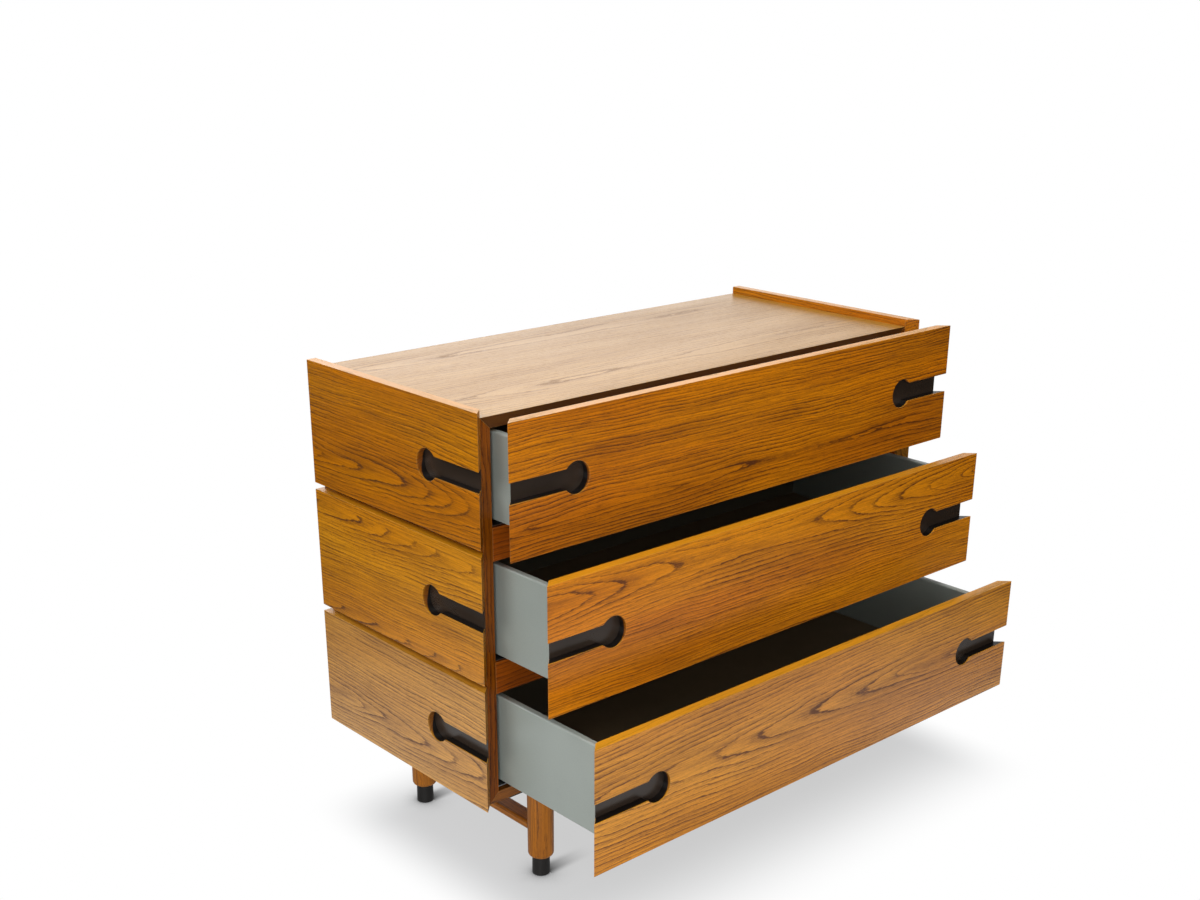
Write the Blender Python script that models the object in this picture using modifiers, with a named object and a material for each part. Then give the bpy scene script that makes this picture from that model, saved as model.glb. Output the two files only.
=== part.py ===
"""Three-drawer dresser on turned legs, with keyhole pulls that wrap round the mitred corners.

Metres, +Z up, +X to the right of someone facing the drawers, +Y towards the back. The part's origin is
on the floor, in the middle of the box that the dresser fills with its drawers drawn out as they are
here. Pieces are placed from an empty under the closed front: y = 0 is the front edge of the claddings
and z = 0 is the floor. Each drawer, and each pair of intermediate runner members, has its own empty,
moved forward by as much as the piece is drawn out.
"""
import math

import bpy
import bmesh
from mathutils import Vector

# Body
WIDTH = 1.067
DEPTH = 0.475
CLEAR_UNDER = 0.210
BOARD = 0.019
SEAT = 0.0003
LIP = 0.014

# Bands of boards: three drawer fronts, and three claddings a side at the same heights
ROWS = ("upper", "middle", "lower")
BAND_HEIGHT = 0.218
BAND_GAP = 0.012
DRAWN_OUT = {"upper": 0.072, "middle": 0.1585, "lower": 0.2645}

# Rails between the drawer bays, and the back panel in its rebate
RAIL_HEIGHT = 0.056
RAIL_RISE = 0.0025
BACK_THICK = 0.006
BACK_REBATE = 0.0095

# Keyhole pulls, and the plates let into the boards behind them
PULL_ROUND = 0.02665
PULL_SLOT = 0.034
PULL_FILLET = 0.003
PULL_WEB = 0.015
PULL_REACH_FRONT = 0.1338
PULL_REACH_SIDE = 0.1354
PLATE_HEIGHT = 0.055
PLATE_MARGIN = 0.012

# Drawer boxes
BOX_WALL = 0.012
BOX_SIDE_PLAY = 0.0092
BOX_HEADROOM = 0.0073
BOX_FLOOR_SPACE = 0.0105
BOX_REAR_SPACE = 0.061
BOX_BOTTOM = 0.007
BOX_RECESS = 0.013
BOX_GROOVE = 0.005
BOX_EDGE_ROUND = 0.0025

# Runners: three steel members, nested one over another under each side of a drawer
STEEL = 0.0015
RUNNER_PLAY = 0.0004
RUNNER_INSET = 0.0133
RUNNER_FLOOR_PLAY = 0.001
HEAD_HALF = 0.0045
HEAD_HEIGHT = 0.0055
HEAD_HOOK = 0.0006
NECK_HALF = 0.0025
FLANGE_HEIGHT = 0.0275
TOE = 0.006
BRACKET_FRONT = 0.003
HEAD_FRONT = 0.014
MIDDLE_FRONT = 0.017
CABINET_REAR_SPACE = 0.022
MIDDLE_REAR_SPACE = 0.039
MEMBER_REAR_SPACE = 0.004
SUNK = 0.0005

# Clips beside the drawer members
CLIP_WIDTH = 0.023
CLIP_LENGTH = 0.046
CLIP_DROP = 0.003
CLIP_NOSE = 0.0065
LEVER_LENGTH = 0.015

# Legs, metal foot sleeves and leg bolts
LEG_INSET_SIDE = 0.1655
LEG_INSET_FRONT = 0.065
LEG_INSET_REAR = 0.055
LEG_TOP_RADIUS = 0.024
LEG_FOOT_RADIUS = 0.02335
LEG_SHOULDER = 0.008
SLEEVE_HEIGHT = 0.035
SLEEVE_TOP_RADIUS = 0.01575
SLEEVE_FOOT_RADIUS = 0.01615
SLEEVE_WALL = 0.0014
SLEEVE_FLOOR = 0.002
SLEEVE_ROUND = 0.0012
SHADOW_GAP = 0.0008
BOLT_RADIUS = 0.004
BOLT_COVER = 0.004

# Stretchers from leg to leg, and the steel channel across them
STRETCHER_WIDTH = 0.035
STRETCHER_HEIGHT = 0.016
STRETCHER_TOP = 0.1015
STRETCHER_ROUND = 0.005
CHANNEL_DEPTH = 0.100
CHANNEL_HEIGHT = 0.016
CHANNEL_STEEL = 0.003

# Facets of round shapes
ROUND_STEPS = 24
FILLET_STEPS = 3
OVERCUT = 0.005
SHARP_ANGLE = math.radians(35)
FLAT_ANGLE = math.radians(0.1)
WELD = 1e-6

# Finishes: sRGB colour from 0 to 255, roughness and metallic value
FINISHES = {
    "oak": ((172, 112, 52), 0.42, 0.0),
    "sage_paint": ((150, 158, 154), 0.55, 0.0),
    "brown_board": ((48, 32, 22), 0.60, 0.0),
    "pull_plate": ((40, 35, 31), 0.45, 0.0),
    "black_steel": ((42, 39, 37), 0.40, 0.8),
    "zinc": ((176, 178, 176), 0.35, 1.0),
}

# Places that follow from the sizes above
HEIGHT = CLEAR_UNDER + len(ROWS) * BAND_HEIGHT + (len(ROWS) - 1) * BAND_GAP
SIDE_INNER = WIDTH / 2 - BOARD
CARCASS_HALF = SIDE_INNER - SEAT
BAY_HALF = CARCASS_HALF - BOARD
CARCASS_FRONT = BOARD + SEAT
CARCASS_TOP = HEIGHT - LIP
MITRE_GAP = SEAT * math.sqrt(2)
BOX_HALF = BAY_HALF - BOX_SIDE_PLAY
BOX_END = DEPTH - BOX_REAR_SPACE
RUNNER_AXIS = BOX_HALF - BOX_WALL - RUNNER_INSET
MIDDLE_HALF = HEAD_HALF + RUNNER_PLAY + STEEL
HOOD_HALF = MIDDLE_HALF + RUNNER_PLAY + STEEL
LEG_X = WIDTH / 2 - LEG_INSET_SIDE
LEG_YS = {"front": LEG_INSET_FRONT, "rear": DEPTH - LEG_INSET_REAR}
SIDES = {"left": -1, "right": 1}
BACK_FRONT = DEPTH - BACK_THICK
TURNS = {
    "X": (math.radians(90), 0.0, math.radians(90)),
    "Y": (math.radians(90), 0.0, 0.0),
    "Z": (0.0, 0.0, 0.0),
}


# Collections, empties and finishes

def clear_scene():
    """Remove what the scene holds."""
    for thing in list(bpy.data.objects):
        bpy.data.objects.remove(thing)


def new_collection(name):
    """A collection linked to the scene."""
    collection = bpy.data.collections.new(name)
    bpy.context.scene.collection.children.link(collection)
    return collection


def linear(channel):
    """One sRGB channel, 0 to 255, as a linear value."""
    value = channel / 255
    if value <= 0.04045:
        return value / 12.92
    return ((value + 0.055) / 1.055) ** 2.4


def make_finish(name):
    """A Principled material from the table of finishes."""
    colour, roughness, metallic = FINISHES[name]
    finish = bpy.data.materials.new(name)
    finish.use_nodes = True
    shader = finish.node_tree.nodes["Principled BSDF"]
    shader.inputs["Base Color"].default_value = (*[linear(channel) for channel in colour], 1.0)
    shader.inputs["Roughness"].default_value = roughness
    shader.inputs["Metallic"].default_value = metallic
    return finish


def new_empty(name, location, parent=None):
    """An empty that carries pieces."""
    empty = bpy.data.objects.new(name, None)
    empty.location = location
    empty.parent = parent
    GUIDES.objects.link(empty)
    return empty


# Solids

def as_piece(name, mesh, finish, parent, location=(0, 0, 0), turn=(0, 0, 0)):
    """A named piece of the dresser on its parent."""
    piece = bpy.data.objects.new(name, mesh)
    piece.location = location
    piece.rotation_euler = turn
    piece.parent = parent
    mesh.materials.append(LOOKS[finish])
    PARTS.objects.link(piece)
    return piece


def as_tool(mesh, parent, location=(0, 0, 0), turn=(0, 0, 0)):
    """A tool for Booleans, shown as wire and left out of renders."""
    tool = bpy.data.objects.new("tool", mesh)
    tool.location = location
    tool.rotation_euler = turn
    tool.parent = parent
    tool.hide_render = True
    tool.display_type = "WIRE"
    CUTTERS.objects.link(tool)
    return tool


def combine(piece, tool, operation):
    """A Boolean between the piece and a tool."""
    modifier = piece.modifiers.new(operation.lower(), "BOOLEAN")
    modifier.operation = operation
    modifier.solver = "EXACT"
    modifier.object = tool


def cut(piece, tool):
    """Take the tool's shape out of the piece."""
    combine(piece, tool, "DIFFERENCE")


def join(piece, tool):
    """Make the tool's shape part of the piece."""
    combine(piece, tool, "UNION")


def soften(mesh):
    """Shade round faces smooth and keep corners sharp."""
    mesh.shade_smooth()
    mesh.set_sharp_from_angle(angle=SHARP_ANGLE)


def box_mesh(x, y, z):
    """A box between (low, high) limits, and the location of its centre."""
    size = [abs(limits[1] - limits[0]) for limits in (x, y, z)]
    centre = [sum(limits) / 2 for limits in (x, y, z)]
    mesh = bpy.data.meshes.new("box")
    shape = bmesh.new()
    bmesh.ops.create_cube(shape, size=1.0)
    bmesh.ops.scale(shape, vec=Vector(size), verts=shape.verts)
    shape.to_mesh(mesh)
    shape.free()
    return mesh, centre


def box(name, x, y, z, finish, parent):
    """A square-edged board."""
    mesh, centre = box_mesh(x, y, z)
    return as_piece(name, mesh, finish, parent, centre)


def box_tool(x, y, z, parent):
    """A square tool."""
    mesh, centre = box_mesh(x, y, z)
    return as_tool(mesh, parent, centre)


def evaluated_mesh(thing):
    """The welded mesh that an object's curve or modifiers make. The object is removed."""
    CUTTERS.objects.link(thing)
    depsgraph = bpy.context.evaluated_depsgraph_get()
    mesh = bpy.data.meshes.new_from_object(thing.evaluated_get(depsgraph))
    bpy.data.objects.remove(thing)
    shape = bmesh.new()
    shape.from_mesh(mesh)
    bmesh.ops.remove_doubles(shape, verts=shape.verts, dist=WELD)
    bmesh.ops.dissolve_limit(shape, angle_limit=FLAT_ANGLE, verts=shape.verts, edges=shape.edges)
    bmesh.ops.recalc_face_normals(shape, faces=shape.faces)
    shape.to_mesh(mesh)
    shape.free()
    soften(mesh)
    return mesh


def drawn_mesh(outline, length):
    """A flat outline carried half the length to each side of its plane."""
    curve = bpy.data.curves.new("outline", "CURVE")
    curve.dimensions = "2D"
    curve.fill_mode = "BOTH"
    curve.extrude = length / 2
    spline = curve.splines.new("POLY")
    spline.points.add(len(outline) - 1)
    spline.use_cyclic_u = True
    for point, (u, v) in zip(spline.points, outline):
        point.co = (u, v, 0.0, 1.0)
    return evaluated_mesh(bpy.data.objects.new("outline", curve))


def middle_of(along, limits):
    """The point half way between the limits on one axis."""
    place = [0.0, 0.0, 0.0]
    place["XYZ".index(along)] = sum(limits) / 2
    return place


def extrusion(name, outline, along, limits, finish, parent):
    """A piece of one section: the outline lies in the other two axes, in the order Y-Z, X-Z or X-Y."""
    mesh = drawn_mesh(outline, limits[1] - limits[0])
    return as_piece(name, mesh, finish, parent, middle_of(along, limits), TURNS[along])


def extruded_tool(outline, along, limits, parent):
    """A tool of one section."""
    mesh = drawn_mesh(outline, limits[1] - limits[0])
    return as_tool(mesh, parent, middle_of(along, limits), TURNS[along])


def turned_mesh(profile):
    """A profile of (radius, height) points, top to bottom down its outer side, turned round Z."""
    mesh = bpy.data.meshes.new("profile")
    shape = bmesh.new()
    points = [shape.verts.new((radius, 0.0, height)) for radius, height in profile]
    for start, end in zip(points, points[1:]):
        shape.edges.new((start, end))
    shape.to_mesh(mesh)
    shape.free()
    thing = bpy.data.objects.new("profile", mesh)
    screw = thing.modifiers.new("turn", "SCREW")
    screw.steps = ROUND_STEPS
    screw.render_steps = ROUND_STEPS
    screw.use_merge_vertices = True
    screw.merge_threshold = WELD
    return evaluated_mesh(thing)


def cylinder_mesh(radius, height, steps):
    """A capped cylinder round Z, centred on its middle."""
    mesh = bpy.data.meshes.new("cylinder")
    shape = bmesh.new()
    bmesh.ops.create_cone(shape, cap_ends=True, segments=steps, radius1=radius, radius2=radius,
                          depth=height)
    shape.to_mesh(mesh)
    shape.free()
    soften(mesh)
    return mesh


# Outlines

def arc(centre, radius, start, end, steps):
    """Points on an arc between two angles, both ends included."""
    angles = [start + (end - start) * step / steps for step in range(steps + 1)]
    return [(centre[0] + radius * math.cos(a), centre[1] + radius * math.sin(a)) for a in angles]


def rounded_box(low, high, radius):
    """A rectangle from its low corner to its high corner, with four round corners."""
    quarter = math.pi / 2
    corners = ((high[0] - radius, high[1] - radius), (low[0] + radius, high[1] - radius),
               (low[0] + radius, low[1] + radius), (high[0] - radius, low[1] + radius))
    points = []
    for turn, centre in enumerate(corners):
        points += arc(centre, radius, turn * quarter, (turn + 1) * quarter, FILLET_STEPS)
    return points


def keyhole(reach):
    """A round hole at the origin with a slot that leaves it along +u and ends at the reach.

    Where the slot meets the round hole, a fillet rounds off the board's two points.
    """
    half = PULL_SLOT / 2
    fillet_v = half + PULL_FILLET
    fillet_u = math.sqrt((PULL_ROUND + PULL_FILLET) ** 2 - fillet_v ** 2)
    lean = math.atan2(fillet_v, fillet_u)
    upper = arc((fillet_u, fillet_v), PULL_FILLET, -math.pi / 2, lean - math.pi, FILLET_STEPS)
    lower = [(u, -v) for u, v in reversed(upper)]
    hole = arc((0.0, 0.0), PULL_ROUND, lean, 2 * math.pi - lean, ROUND_STEPS)
    return [(reach, half)] + upper + hole[1:-1] + lower + [(reach, -half)]


def wall_section(height, grooved):
    """Section of a drawer-box wall: u = 0 is its outer face, and the top edge is rounded."""
    top = arc((BOX_WALL - BOX_EDGE_ROUND, height - BOX_EDGE_ROUND), BOX_EDGE_ROUND,
              0.0, math.pi / 2, FILLET_STEPS)
    top += arc((BOX_EDGE_ROUND, height - BOX_EDGE_ROUND), BOX_EDGE_ROUND,
               math.pi / 2, math.pi, FILLET_STEPS)
    foot = [(0.0, 0.0), (BOX_WALL, 0.0)]
    groove = [(BOX_WALL, BOX_RECESS - SEAT), (BOX_WALL - BOX_GROOVE, BOX_RECESS - SEAT),
              (BOX_WALL - BOX_GROOVE, BOX_RECESS + BOX_BOTTOM + SEAT),
              (BOX_WALL, BOX_RECESS + BOX_BOTTOM + SEAT)]
    return foot + (groove if grooved else []) + top


def hood_section(axis, half, lip, low, ceiling, top):
    """Section of a runner member: a hood that closes over the next member, with lips turned in."""
    inner = half - STEEL
    right = [(half, top), (half, low), (lip, low), (lip, low + STEEL), (inner, low + STEEL),
             (inner, ceiling)]
    return [(axis + u, v) for u, v in right] + [(axis - u, v) for u, v in reversed(right)]


# Heights

def band_top(row):
    """Top edge of a band."""
    return HEIGHT - ROWS.index(row) * (BAND_HEIGHT + BAND_GAP)


def band_limits(row):
    """Bottom and top edges of a band."""
    return band_top(row) - BAND_HEIGHT, band_top(row)


def rail_limits(row):
    """Bottom and top edges of the rail behind the gap under a band."""
    middle = band_top(row) - BAND_HEIGHT - BAND_GAP / 2 + RAIL_RISE
    return middle - RAIL_HEIGHT / 2, middle + RAIL_HEIGHT / 2


def bay_ceiling(row):
    """The underside of what is over a drawer."""
    if row == ROWS[0]:
        return CARCASS_TOP - BOARD
    return rail_limits(ROWS[ROWS.index(row) - 1])[0]


def box_foot(row):
    """Lower edge of a drawer box."""
    return rail_limits(row)[1] + BOX_FLOOR_SPACE


# Carcass

def make_carcass(root):
    """A mitred box of four boards, with two rails across its front and a panel in its back."""
    run = (CARCASS_FRONT, DEPTH)
    outer, inner = CARCASS_HALF, BAY_HALF
    low, high = CLEAR_UNDER, CARCASS_TOP
    top = [(-outer, high), (outer, high), (inner, high - BOARD), (-inner, high - BOARD)]
    bottom = [(-outer, low), (outer, low), (inner, low + BOARD), (-inner, low + BOARD)]
    boards = {"top": extrusion("top_panel", top, "Y", run, "oak", root),
              "bottom": extrusion("bottom_panel", bottom, "Y", run, "oak", root)}
    for side, sign in SIDES.items():
        panel = [(sign * outer, low + MITRE_GAP), (sign * outer, high - MITRE_GAP),
                 (sign * inner, high - BOARD - MITRE_GAP), (sign * inner, low + BOARD + MITRE_GAP)]
        boards[side] = extrusion("side_panel_" + side, panel, "Y", run, "oak", root)
    reach = inner + BACK_REBATE
    floor, ceiling = low + BOARD - BACK_REBATE, high - BOARD + BACK_REBATE
    rebate = box_tool((-reach, reach), (BACK_FRONT - SEAT, DEPTH + OVERCUT), (floor, ceiling), root)
    for board in boards.values():
        cut(board, rebate)
    box("back_panel", (SEAT - reach, reach - SEAT), (BACK_FRONT, DEPTH), (floor + SEAT, ceiling - SEAT),
        "brown_board", root)
    for row in ROWS[:-1]:
        box("rail_under_" + row, (SEAT - inner, inner - SEAT), (CARCASS_FRONT, CARCASS_FRONT + BOARD),
            rail_limits(row), "oak", root)
    return boards


# Keyhole pulls

def pull_height(row):
    """The pulls run along the middle of a band."""
    return sum(band_limits(row)) / 2


def plate_limits(row):
    """Bottom and top edges of a pull's backing plate."""
    return pull_height(row) - PLATE_HEIGHT / 2, pull_height(row) + PLATE_HEIGHT / 2


def groove_limits(row):
    """Bottom and top edges of the groove for a backing plate."""
    low, high = plate_limits(row)
    return low - SEAT, high + SEAT


def make_cladding(row, side, root):
    """A side board: its pull is open at the mitred front end, where the drawer front carries it on."""
    sign = SIDES[side]
    outer, inner = sign * WIDTH / 2, sign * SIDE_INNER
    board = [(outer, 0.0), (outer, DEPTH), (inner, DEPTH), (inner, BOARD)]
    cladding = extrusion(f"cladding_{side}_{row}", board, "Z", band_limits(row), "oak", root)
    hole = [(PULL_REACH_SIDE - u, pull_height(row) + v) for u, v in keyhole(PULL_REACH_SIDE + OVERCUT)]
    across = sorted((outer + sign * OVERCUT, inner - sign * OVERCUT))
    cut(cladding, extruded_tool(hole, "X", across, root))
    groove_end = PULL_REACH_SIDE + PULL_ROUND + PLATE_MARGIN
    groove = sorted((inner - sign * OVERCUT, outer - sign * PULL_WEB))
    cut(cladding, box_tool(groove, (-OVERCUT, groove_end), groove_limits(row), root))


def make_cladding_plate(row, side, root):
    """The backing plate in a side board, mitred flush with the board's front end."""
    sign = SIDES[side]
    face = WIDTH / 2 - PULL_WEB - SEAT
    end = PULL_REACH_SIDE + PULL_ROUND + PLATE_MARGIN - SEAT
    plate = [(sign * face, WIDTH / 2 - face), (sign * face, end),
             (sign * SIDE_INNER, end), (sign * SIDE_INNER, BOARD)]
    extrusion(f"cladding_pull_plate_{side}_{row}", plate, "Z", plate_limits(row), "pull_plate", root)


# Drawers

def make_front(row, drawer):
    """A drawer front with mitred ends. Both of its pulls run out through the mitres."""
    outer, inner = WIDTH / 2, SIDE_INNER
    board = [(-outer, 0.0), (outer, 0.0), (inner, BOARD), (-inner, BOARD)]
    front = extrusion("drawer_front_" + row, board, "Z", band_limits(row), "oak", drawer)
    centre = outer - PULL_REACH_FRONT
    groove_end = centre - PULL_ROUND - PLATE_MARGIN
    for side, sign in SIDES.items():
        hole = [(sign * (centre + u), pull_height(row) + v)
                for u, v in keyhole(PULL_REACH_FRONT + OVERCUT)]
        cut(front, extruded_tool(hole, "Y", (-OVERCUT, BOARD + OVERCUT), drawer))
        groove = sorted((sign * groove_end, sign * (outer + OVERCUT)))
        cut(front, box_tool(groove, (PULL_WEB, BOARD + OVERCUT), groove_limits(row), drawer))
        face, start = PULL_WEB + SEAT, groove_end + SEAT
        plate = [(sign * start, face), (sign * (outer - face), face),
                 (sign * inner, BOARD), (sign * start, BOARD)]
        extrusion(f"front_pull_plate_{side}_{row}", plate, "Z", plate_limits(row), "pull_plate", drawer)


def make_box(row, drawer):
    """The painted drawer box behind a front: grooved walls, a back, and a bottom that slides in."""
    foot = box_foot(row)
    height = bay_ceiling(row) - BOX_HEADROOM - foot
    start = BOARD + SEAT
    for side, sign in SIDES.items():
        section = [(sign * (BOX_HALF - u), foot + v) for u, v in wall_section(height, True)]
        extrusion(f"drawer_{side}_{row}", section, "Y", (start, BOX_END), "sage_paint", drawer)
    between = BOX_HALF - BOX_WALL - SEAT
    section = [(start + u, foot + v) for u, v in wall_section(height, True)]
    extrusion("drawer_inner_front_" + row, section, "X", (-between, between), "sage_paint", drawer)
    back_foot = BOX_RECESS + BOX_BOTTOM + SEAT
    section = [(BOX_END - u, foot + back_foot + v) for u, v in wall_section(height - back_foot, False)]
    extrusion("drawer_back_" + row, section, "X", (-between, between), "sage_paint", drawer)
    reach = BOX_HALF - BOX_WALL + BOX_GROOVE - SEAT
    front_edge = start + BOX_WALL - BOX_GROOVE + SEAT
    bottom = box("drawer_bottom_" + row, (-reach, reach), (front_edge, BOX_END),
                 (foot + BOX_RECESS, foot + BOX_RECESS + BOX_BOTTOM), "brown_board", drawer)
    join_drawer_members(bottom, foot, drawer)


# Runners

def nested_levels():
    """Heights over the drawer's foot of the ceilings and lips of the nested members."""
    drawer_ceiling = BOX_RECESS - STEEL
    middle_top = drawer_ceiling - RUNNER_PLAY
    middle_ceiling = middle_top - STEEL
    head_top = middle_ceiling - RUNNER_PLAY
    head_low = head_top - HEAD_HEIGHT
    middle_low = head_low - RUNNER_PLAY - STEEL
    return {"drawer_ceiling": drawer_ceiling, "middle_top": middle_top,
            "middle_ceiling": middle_ceiling, "head_top": head_top, "head_low": head_low,
            "middle_low": middle_low, "drawer_low": middle_low - RUNNER_PLAY - STEEL}


def join_cabinet_member(panel, side, row, root):
    """A bracket that is part of the side panel, and on it the fixed rail that the hoods ride on."""
    sign = SIDES[side]
    foot = box_foot(row)
    base = RUNNER_FLOOR_PLAY - BOX_FLOOR_SPACE
    shelf = base + STEEL
    wall = BAY_HALF + SUNK
    face = BAY_HALF - STEEL
    toe = RUNNER_AXIS - TOE
    bracket = [(wall, base), (wall, base + FLANGE_HEIGHT), (face, base + FLANGE_HEIGHT), (face, shelf),
               (toe, shelf), (toe, base)]
    run = (CARCASS_FRONT + BRACKET_FRONT, DEPTH - CABINET_REAR_SPACE)
    join(panel, extruded_tool([(sign * u, foot + v) for u, v in bracket], "Y", run, root))
    low = LEVELS["head_low"]
    half = [(NECK_HALF, shelf - SUNK), (NECK_HALF, low + HEAD_HOOK), (HEAD_HALF, low),
            (HEAD_HALF, LEVELS["head_top"])]
    rail = half + [(-u, v) for u, v in reversed(half)]
    run = (CARCASS_FRONT + HEAD_FRONT, DEPTH - CABINET_REAR_SPACE - STEEL)
    section = [(sign * RUNNER_AXIS + u, foot + v) for u, v in rail]
    join(panel, extruded_tool(section, "Y", run, root))


def make_middle_member(row, side, slide):
    """A member that runs half as far as the drawer, between the fixed rail and the drawer's hood."""
    foot = box_foot(row)
    section = hood_section(SIDES[side] * RUNNER_AXIS, MIDDLE_HALF, NECK_HALF + RUNNER_PLAY,
                           foot + LEVELS["middle_low"], foot + LEVELS["middle_ceiling"],
                           foot + LEVELS["middle_top"])
    run = (CARCASS_FRONT + MIDDLE_FRONT, DEPTH - MIDDLE_REAR_SPACE)
    extrusion(f"runner_member_{side}_{row}", section, "Y", run, "zinc", slide)


def join_drawer_members(bottom, foot, drawer):
    """Hoods under the drawer bottom, and beside each a clip with a sloped release lever."""
    front = BOARD + SEAT + BOX_WALL + SEAT
    run = (front, BOX_END - MEMBER_REAR_SPACE)
    sunk = BOX_RECESS + SUNK
    side_view = [(front, sunk), (front + CLIP_LENGTH, sunk), (front + CLIP_LENGTH, CLIP_NOSE),
                 (front + LEVER_LENGTH, -CLIP_DROP), (front, -CLIP_DROP)]
    for sign in SIDES.values():
        section = hood_section(sign * RUNNER_AXIS, HOOD_HALF, MIDDLE_HALF - STEEL,
                               foot + LEVELS["drawer_low"], foot + LEVELS["drawer_ceiling"], foot + sunk)
        join(bottom, extruded_tool(section, "Y", run, drawer))
        near = RUNNER_AXIS - HOOD_HALF + SUNK
        limits = sorted((sign * near, sign * (near - CLIP_WIDTH)))
        join(bottom, extruded_tool([(u, foot + v) for u, v in side_view], "X", limits, drawer))


def make_drawer(row, root, panels):
    """A drawer and its runners, drawn out as far as this one stands."""
    drawer = new_empty("drawer_axis_" + row, (0.0, -DRAWN_OUT[row], 0.0), root)
    slide = new_empty("runner_axis_" + row, (0.0, -DRAWN_OUT[row] / 2, 0.0), root)
    make_front(row, drawer)
    make_box(row, drawer)
    for side in SIDES:
        join_cabinet_member(panels[side], side, row, root)
        make_middle_member(row, side, slide)


# Legs

def leg_radius(height):
    """The leg tapers from its top down to its shoulder."""
    shoulder = SLEEVE_HEIGHT + SHADOW_GAP + LEG_SHOULDER
    share = (CLEAR_UNDER - height) / (CLEAR_UNDER - shoulder)
    return LEG_TOP_RADIUS + (LEG_FOOT_RADIUS - LEG_TOP_RADIUS) * share


def leg_mesh():
    """A turned leg with the bolt in its top, a round shoulder, and a spigot that fills the sleeve."""
    top = CLEAR_UNDER - SEAT
    bolt_top = CLEAR_UNDER + BOARD - BOLT_COVER - SEAT
    foot = SLEEVE_HEIGHT + SHADOW_GAP
    spigot = SLEEVE_TOP_RADIUS - SLEEVE_WALL - SEAT
    shoulder = arc((LEG_FOOT_RADIUS - LEG_SHOULDER, foot + LEG_SHOULDER), LEG_SHOULDER,
                   0.0, -math.pi / 2, FILLET_STEPS + 1)
    profile = [(0.0, bolt_top), (BOLT_RADIUS, bolt_top), (BOLT_RADIUS, top), (LEG_TOP_RADIUS, top)]
    profile += shoulder + [(spigot, foot), (spigot, SLEEVE_FLOOR + SEAT), (0.0, SLEEVE_FLOOR + SEAT)]
    return turned_mesh(profile)


def sleeve_mesh():
    """A metal cup for the foot of a leg, a little wider at the floor."""
    inner = SLEEVE_TOP_RADIUS - SLEEVE_WALL
    edge = arc((SLEEVE_FOOT_RADIUS - SLEEVE_ROUND, SLEEVE_ROUND), SLEEVE_ROUND, 0.0, -math.pi / 2, 2)
    profile = [(0.0, SLEEVE_FLOOR), (inner, SLEEVE_FLOOR), (inner, SLEEVE_HEIGHT),
               (SLEEVE_TOP_RADIUS, SLEEVE_HEIGHT)]
    return turned_mesh(profile + edge + [(0.0, 0.0)])


def make_legs(root, bottom_panel):
    """Four legs in their sleeves, bolted into the bottom panel."""
    leg = leg_mesh()
    sleeve = sleeve_mesh()
    hole_depth = BOARD - BOLT_COVER
    for end, y in LEG_YS.items():
        for side, sign in SIDES.items():
            place = (sign * LEG_X, y, 0.0)
            as_piece(f"leg_{end}_{side}", leg, "oak", root, place)
            as_piece(f"foot_sleeve_{end}_{side}", sleeve, "black_steel", root, place)
            hole = cylinder_mesh(BOLT_RADIUS + SEAT, 2 * hole_depth, ROUND_STEPS)
            cut(bottom_panel, as_tool(hole, root, (sign * LEG_X, y, CLEAR_UNDER)))


# Stretchers

def make_stretchers(root):
    """A rounded bar from leg to leg on each side, its ends hollowed to fit round the legs."""
    low = STRETCHER_TOP - STRETCHER_HEIGHT
    sides = 2 * ROUND_STEPS
    hollow = (leg_radius(STRETCHER_TOP) + SEAT) / math.cos(math.pi / sides)
    for side, sign in SIDES.items():
        centre = sign * LEG_X
        section = rounded_box((centre - STRETCHER_WIDTH / 2, low),
                              (centre + STRETCHER_WIDTH / 2, STRETCHER_TOP), STRETCHER_ROUND)
        bar = extrusion("stretcher_" + side, section, "Y", tuple(LEG_YS.values()), "oak", root)
        for y in LEG_YS.values():
            tool = cylinder_mesh(hollow, STRETCHER_HEIGHT + 2 * OVERCUT, sides)
            cut(bar, as_tool(tool, root, (centre, y, (low + STRETCHER_TOP) / 2)))


def make_cross_rail(root):
    """A steel channel, open downwards, from stretcher to stretcher."""
    middle = sum(LEG_YS.values()) / 2
    top = STRETCHER_TOP
    low = top - CHANNEL_HEIGHT
    half, inner = CHANNEL_DEPTH / 2, CHANNEL_DEPTH / 2 - CHANNEL_STEEL
    corner = CHANNEL_STEEL
    edge = arc((half - corner, top - corner), corner, 0.0, math.pi / 2, FILLET_STEPS)
    right = [(inner, top - CHANNEL_STEEL), (inner, low), (half, low)] + edge
    section = [(middle + u, v) for u, v in right]
    section += [(middle - u, v) for u, v in reversed(right)]
    reach = LEG_X - STRETCHER_WIDTH / 2 - SEAT
    extrusion("cross_rail", section, "X", (-reach, reach), "black_steel", root)


# Assembly

def make_dresser():
    """Every piece, on an empty that centres the dresser on the origin."""
    front_most = -max(DRAWN_OUT.values())
    root = new_empty("dresser_origin", (0.0, -(DEPTH + front_most) / 2, 0.0))
    panels = make_carcass(root)
    for row in ROWS:
        for side in SIDES:
            make_cladding(row, side, root)
            make_cladding_plate(row, side, root)
        make_drawer(row, root, panels)
    make_legs(root, panels["bottom"])
    make_stretchers(root)
    make_cross_rail(root)


clear_scene()
PARTS = new_collection("dresser")
GUIDES = new_collection("guides")
CUTTERS = new_collection("cutters")
LOOKS = {name: make_finish(name) for name in FINISHES}
LEVELS = nested_levels()
make_dresser()
bpy.context.view_layer.update()
print("pieces:", len(PARTS.objects))
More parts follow.
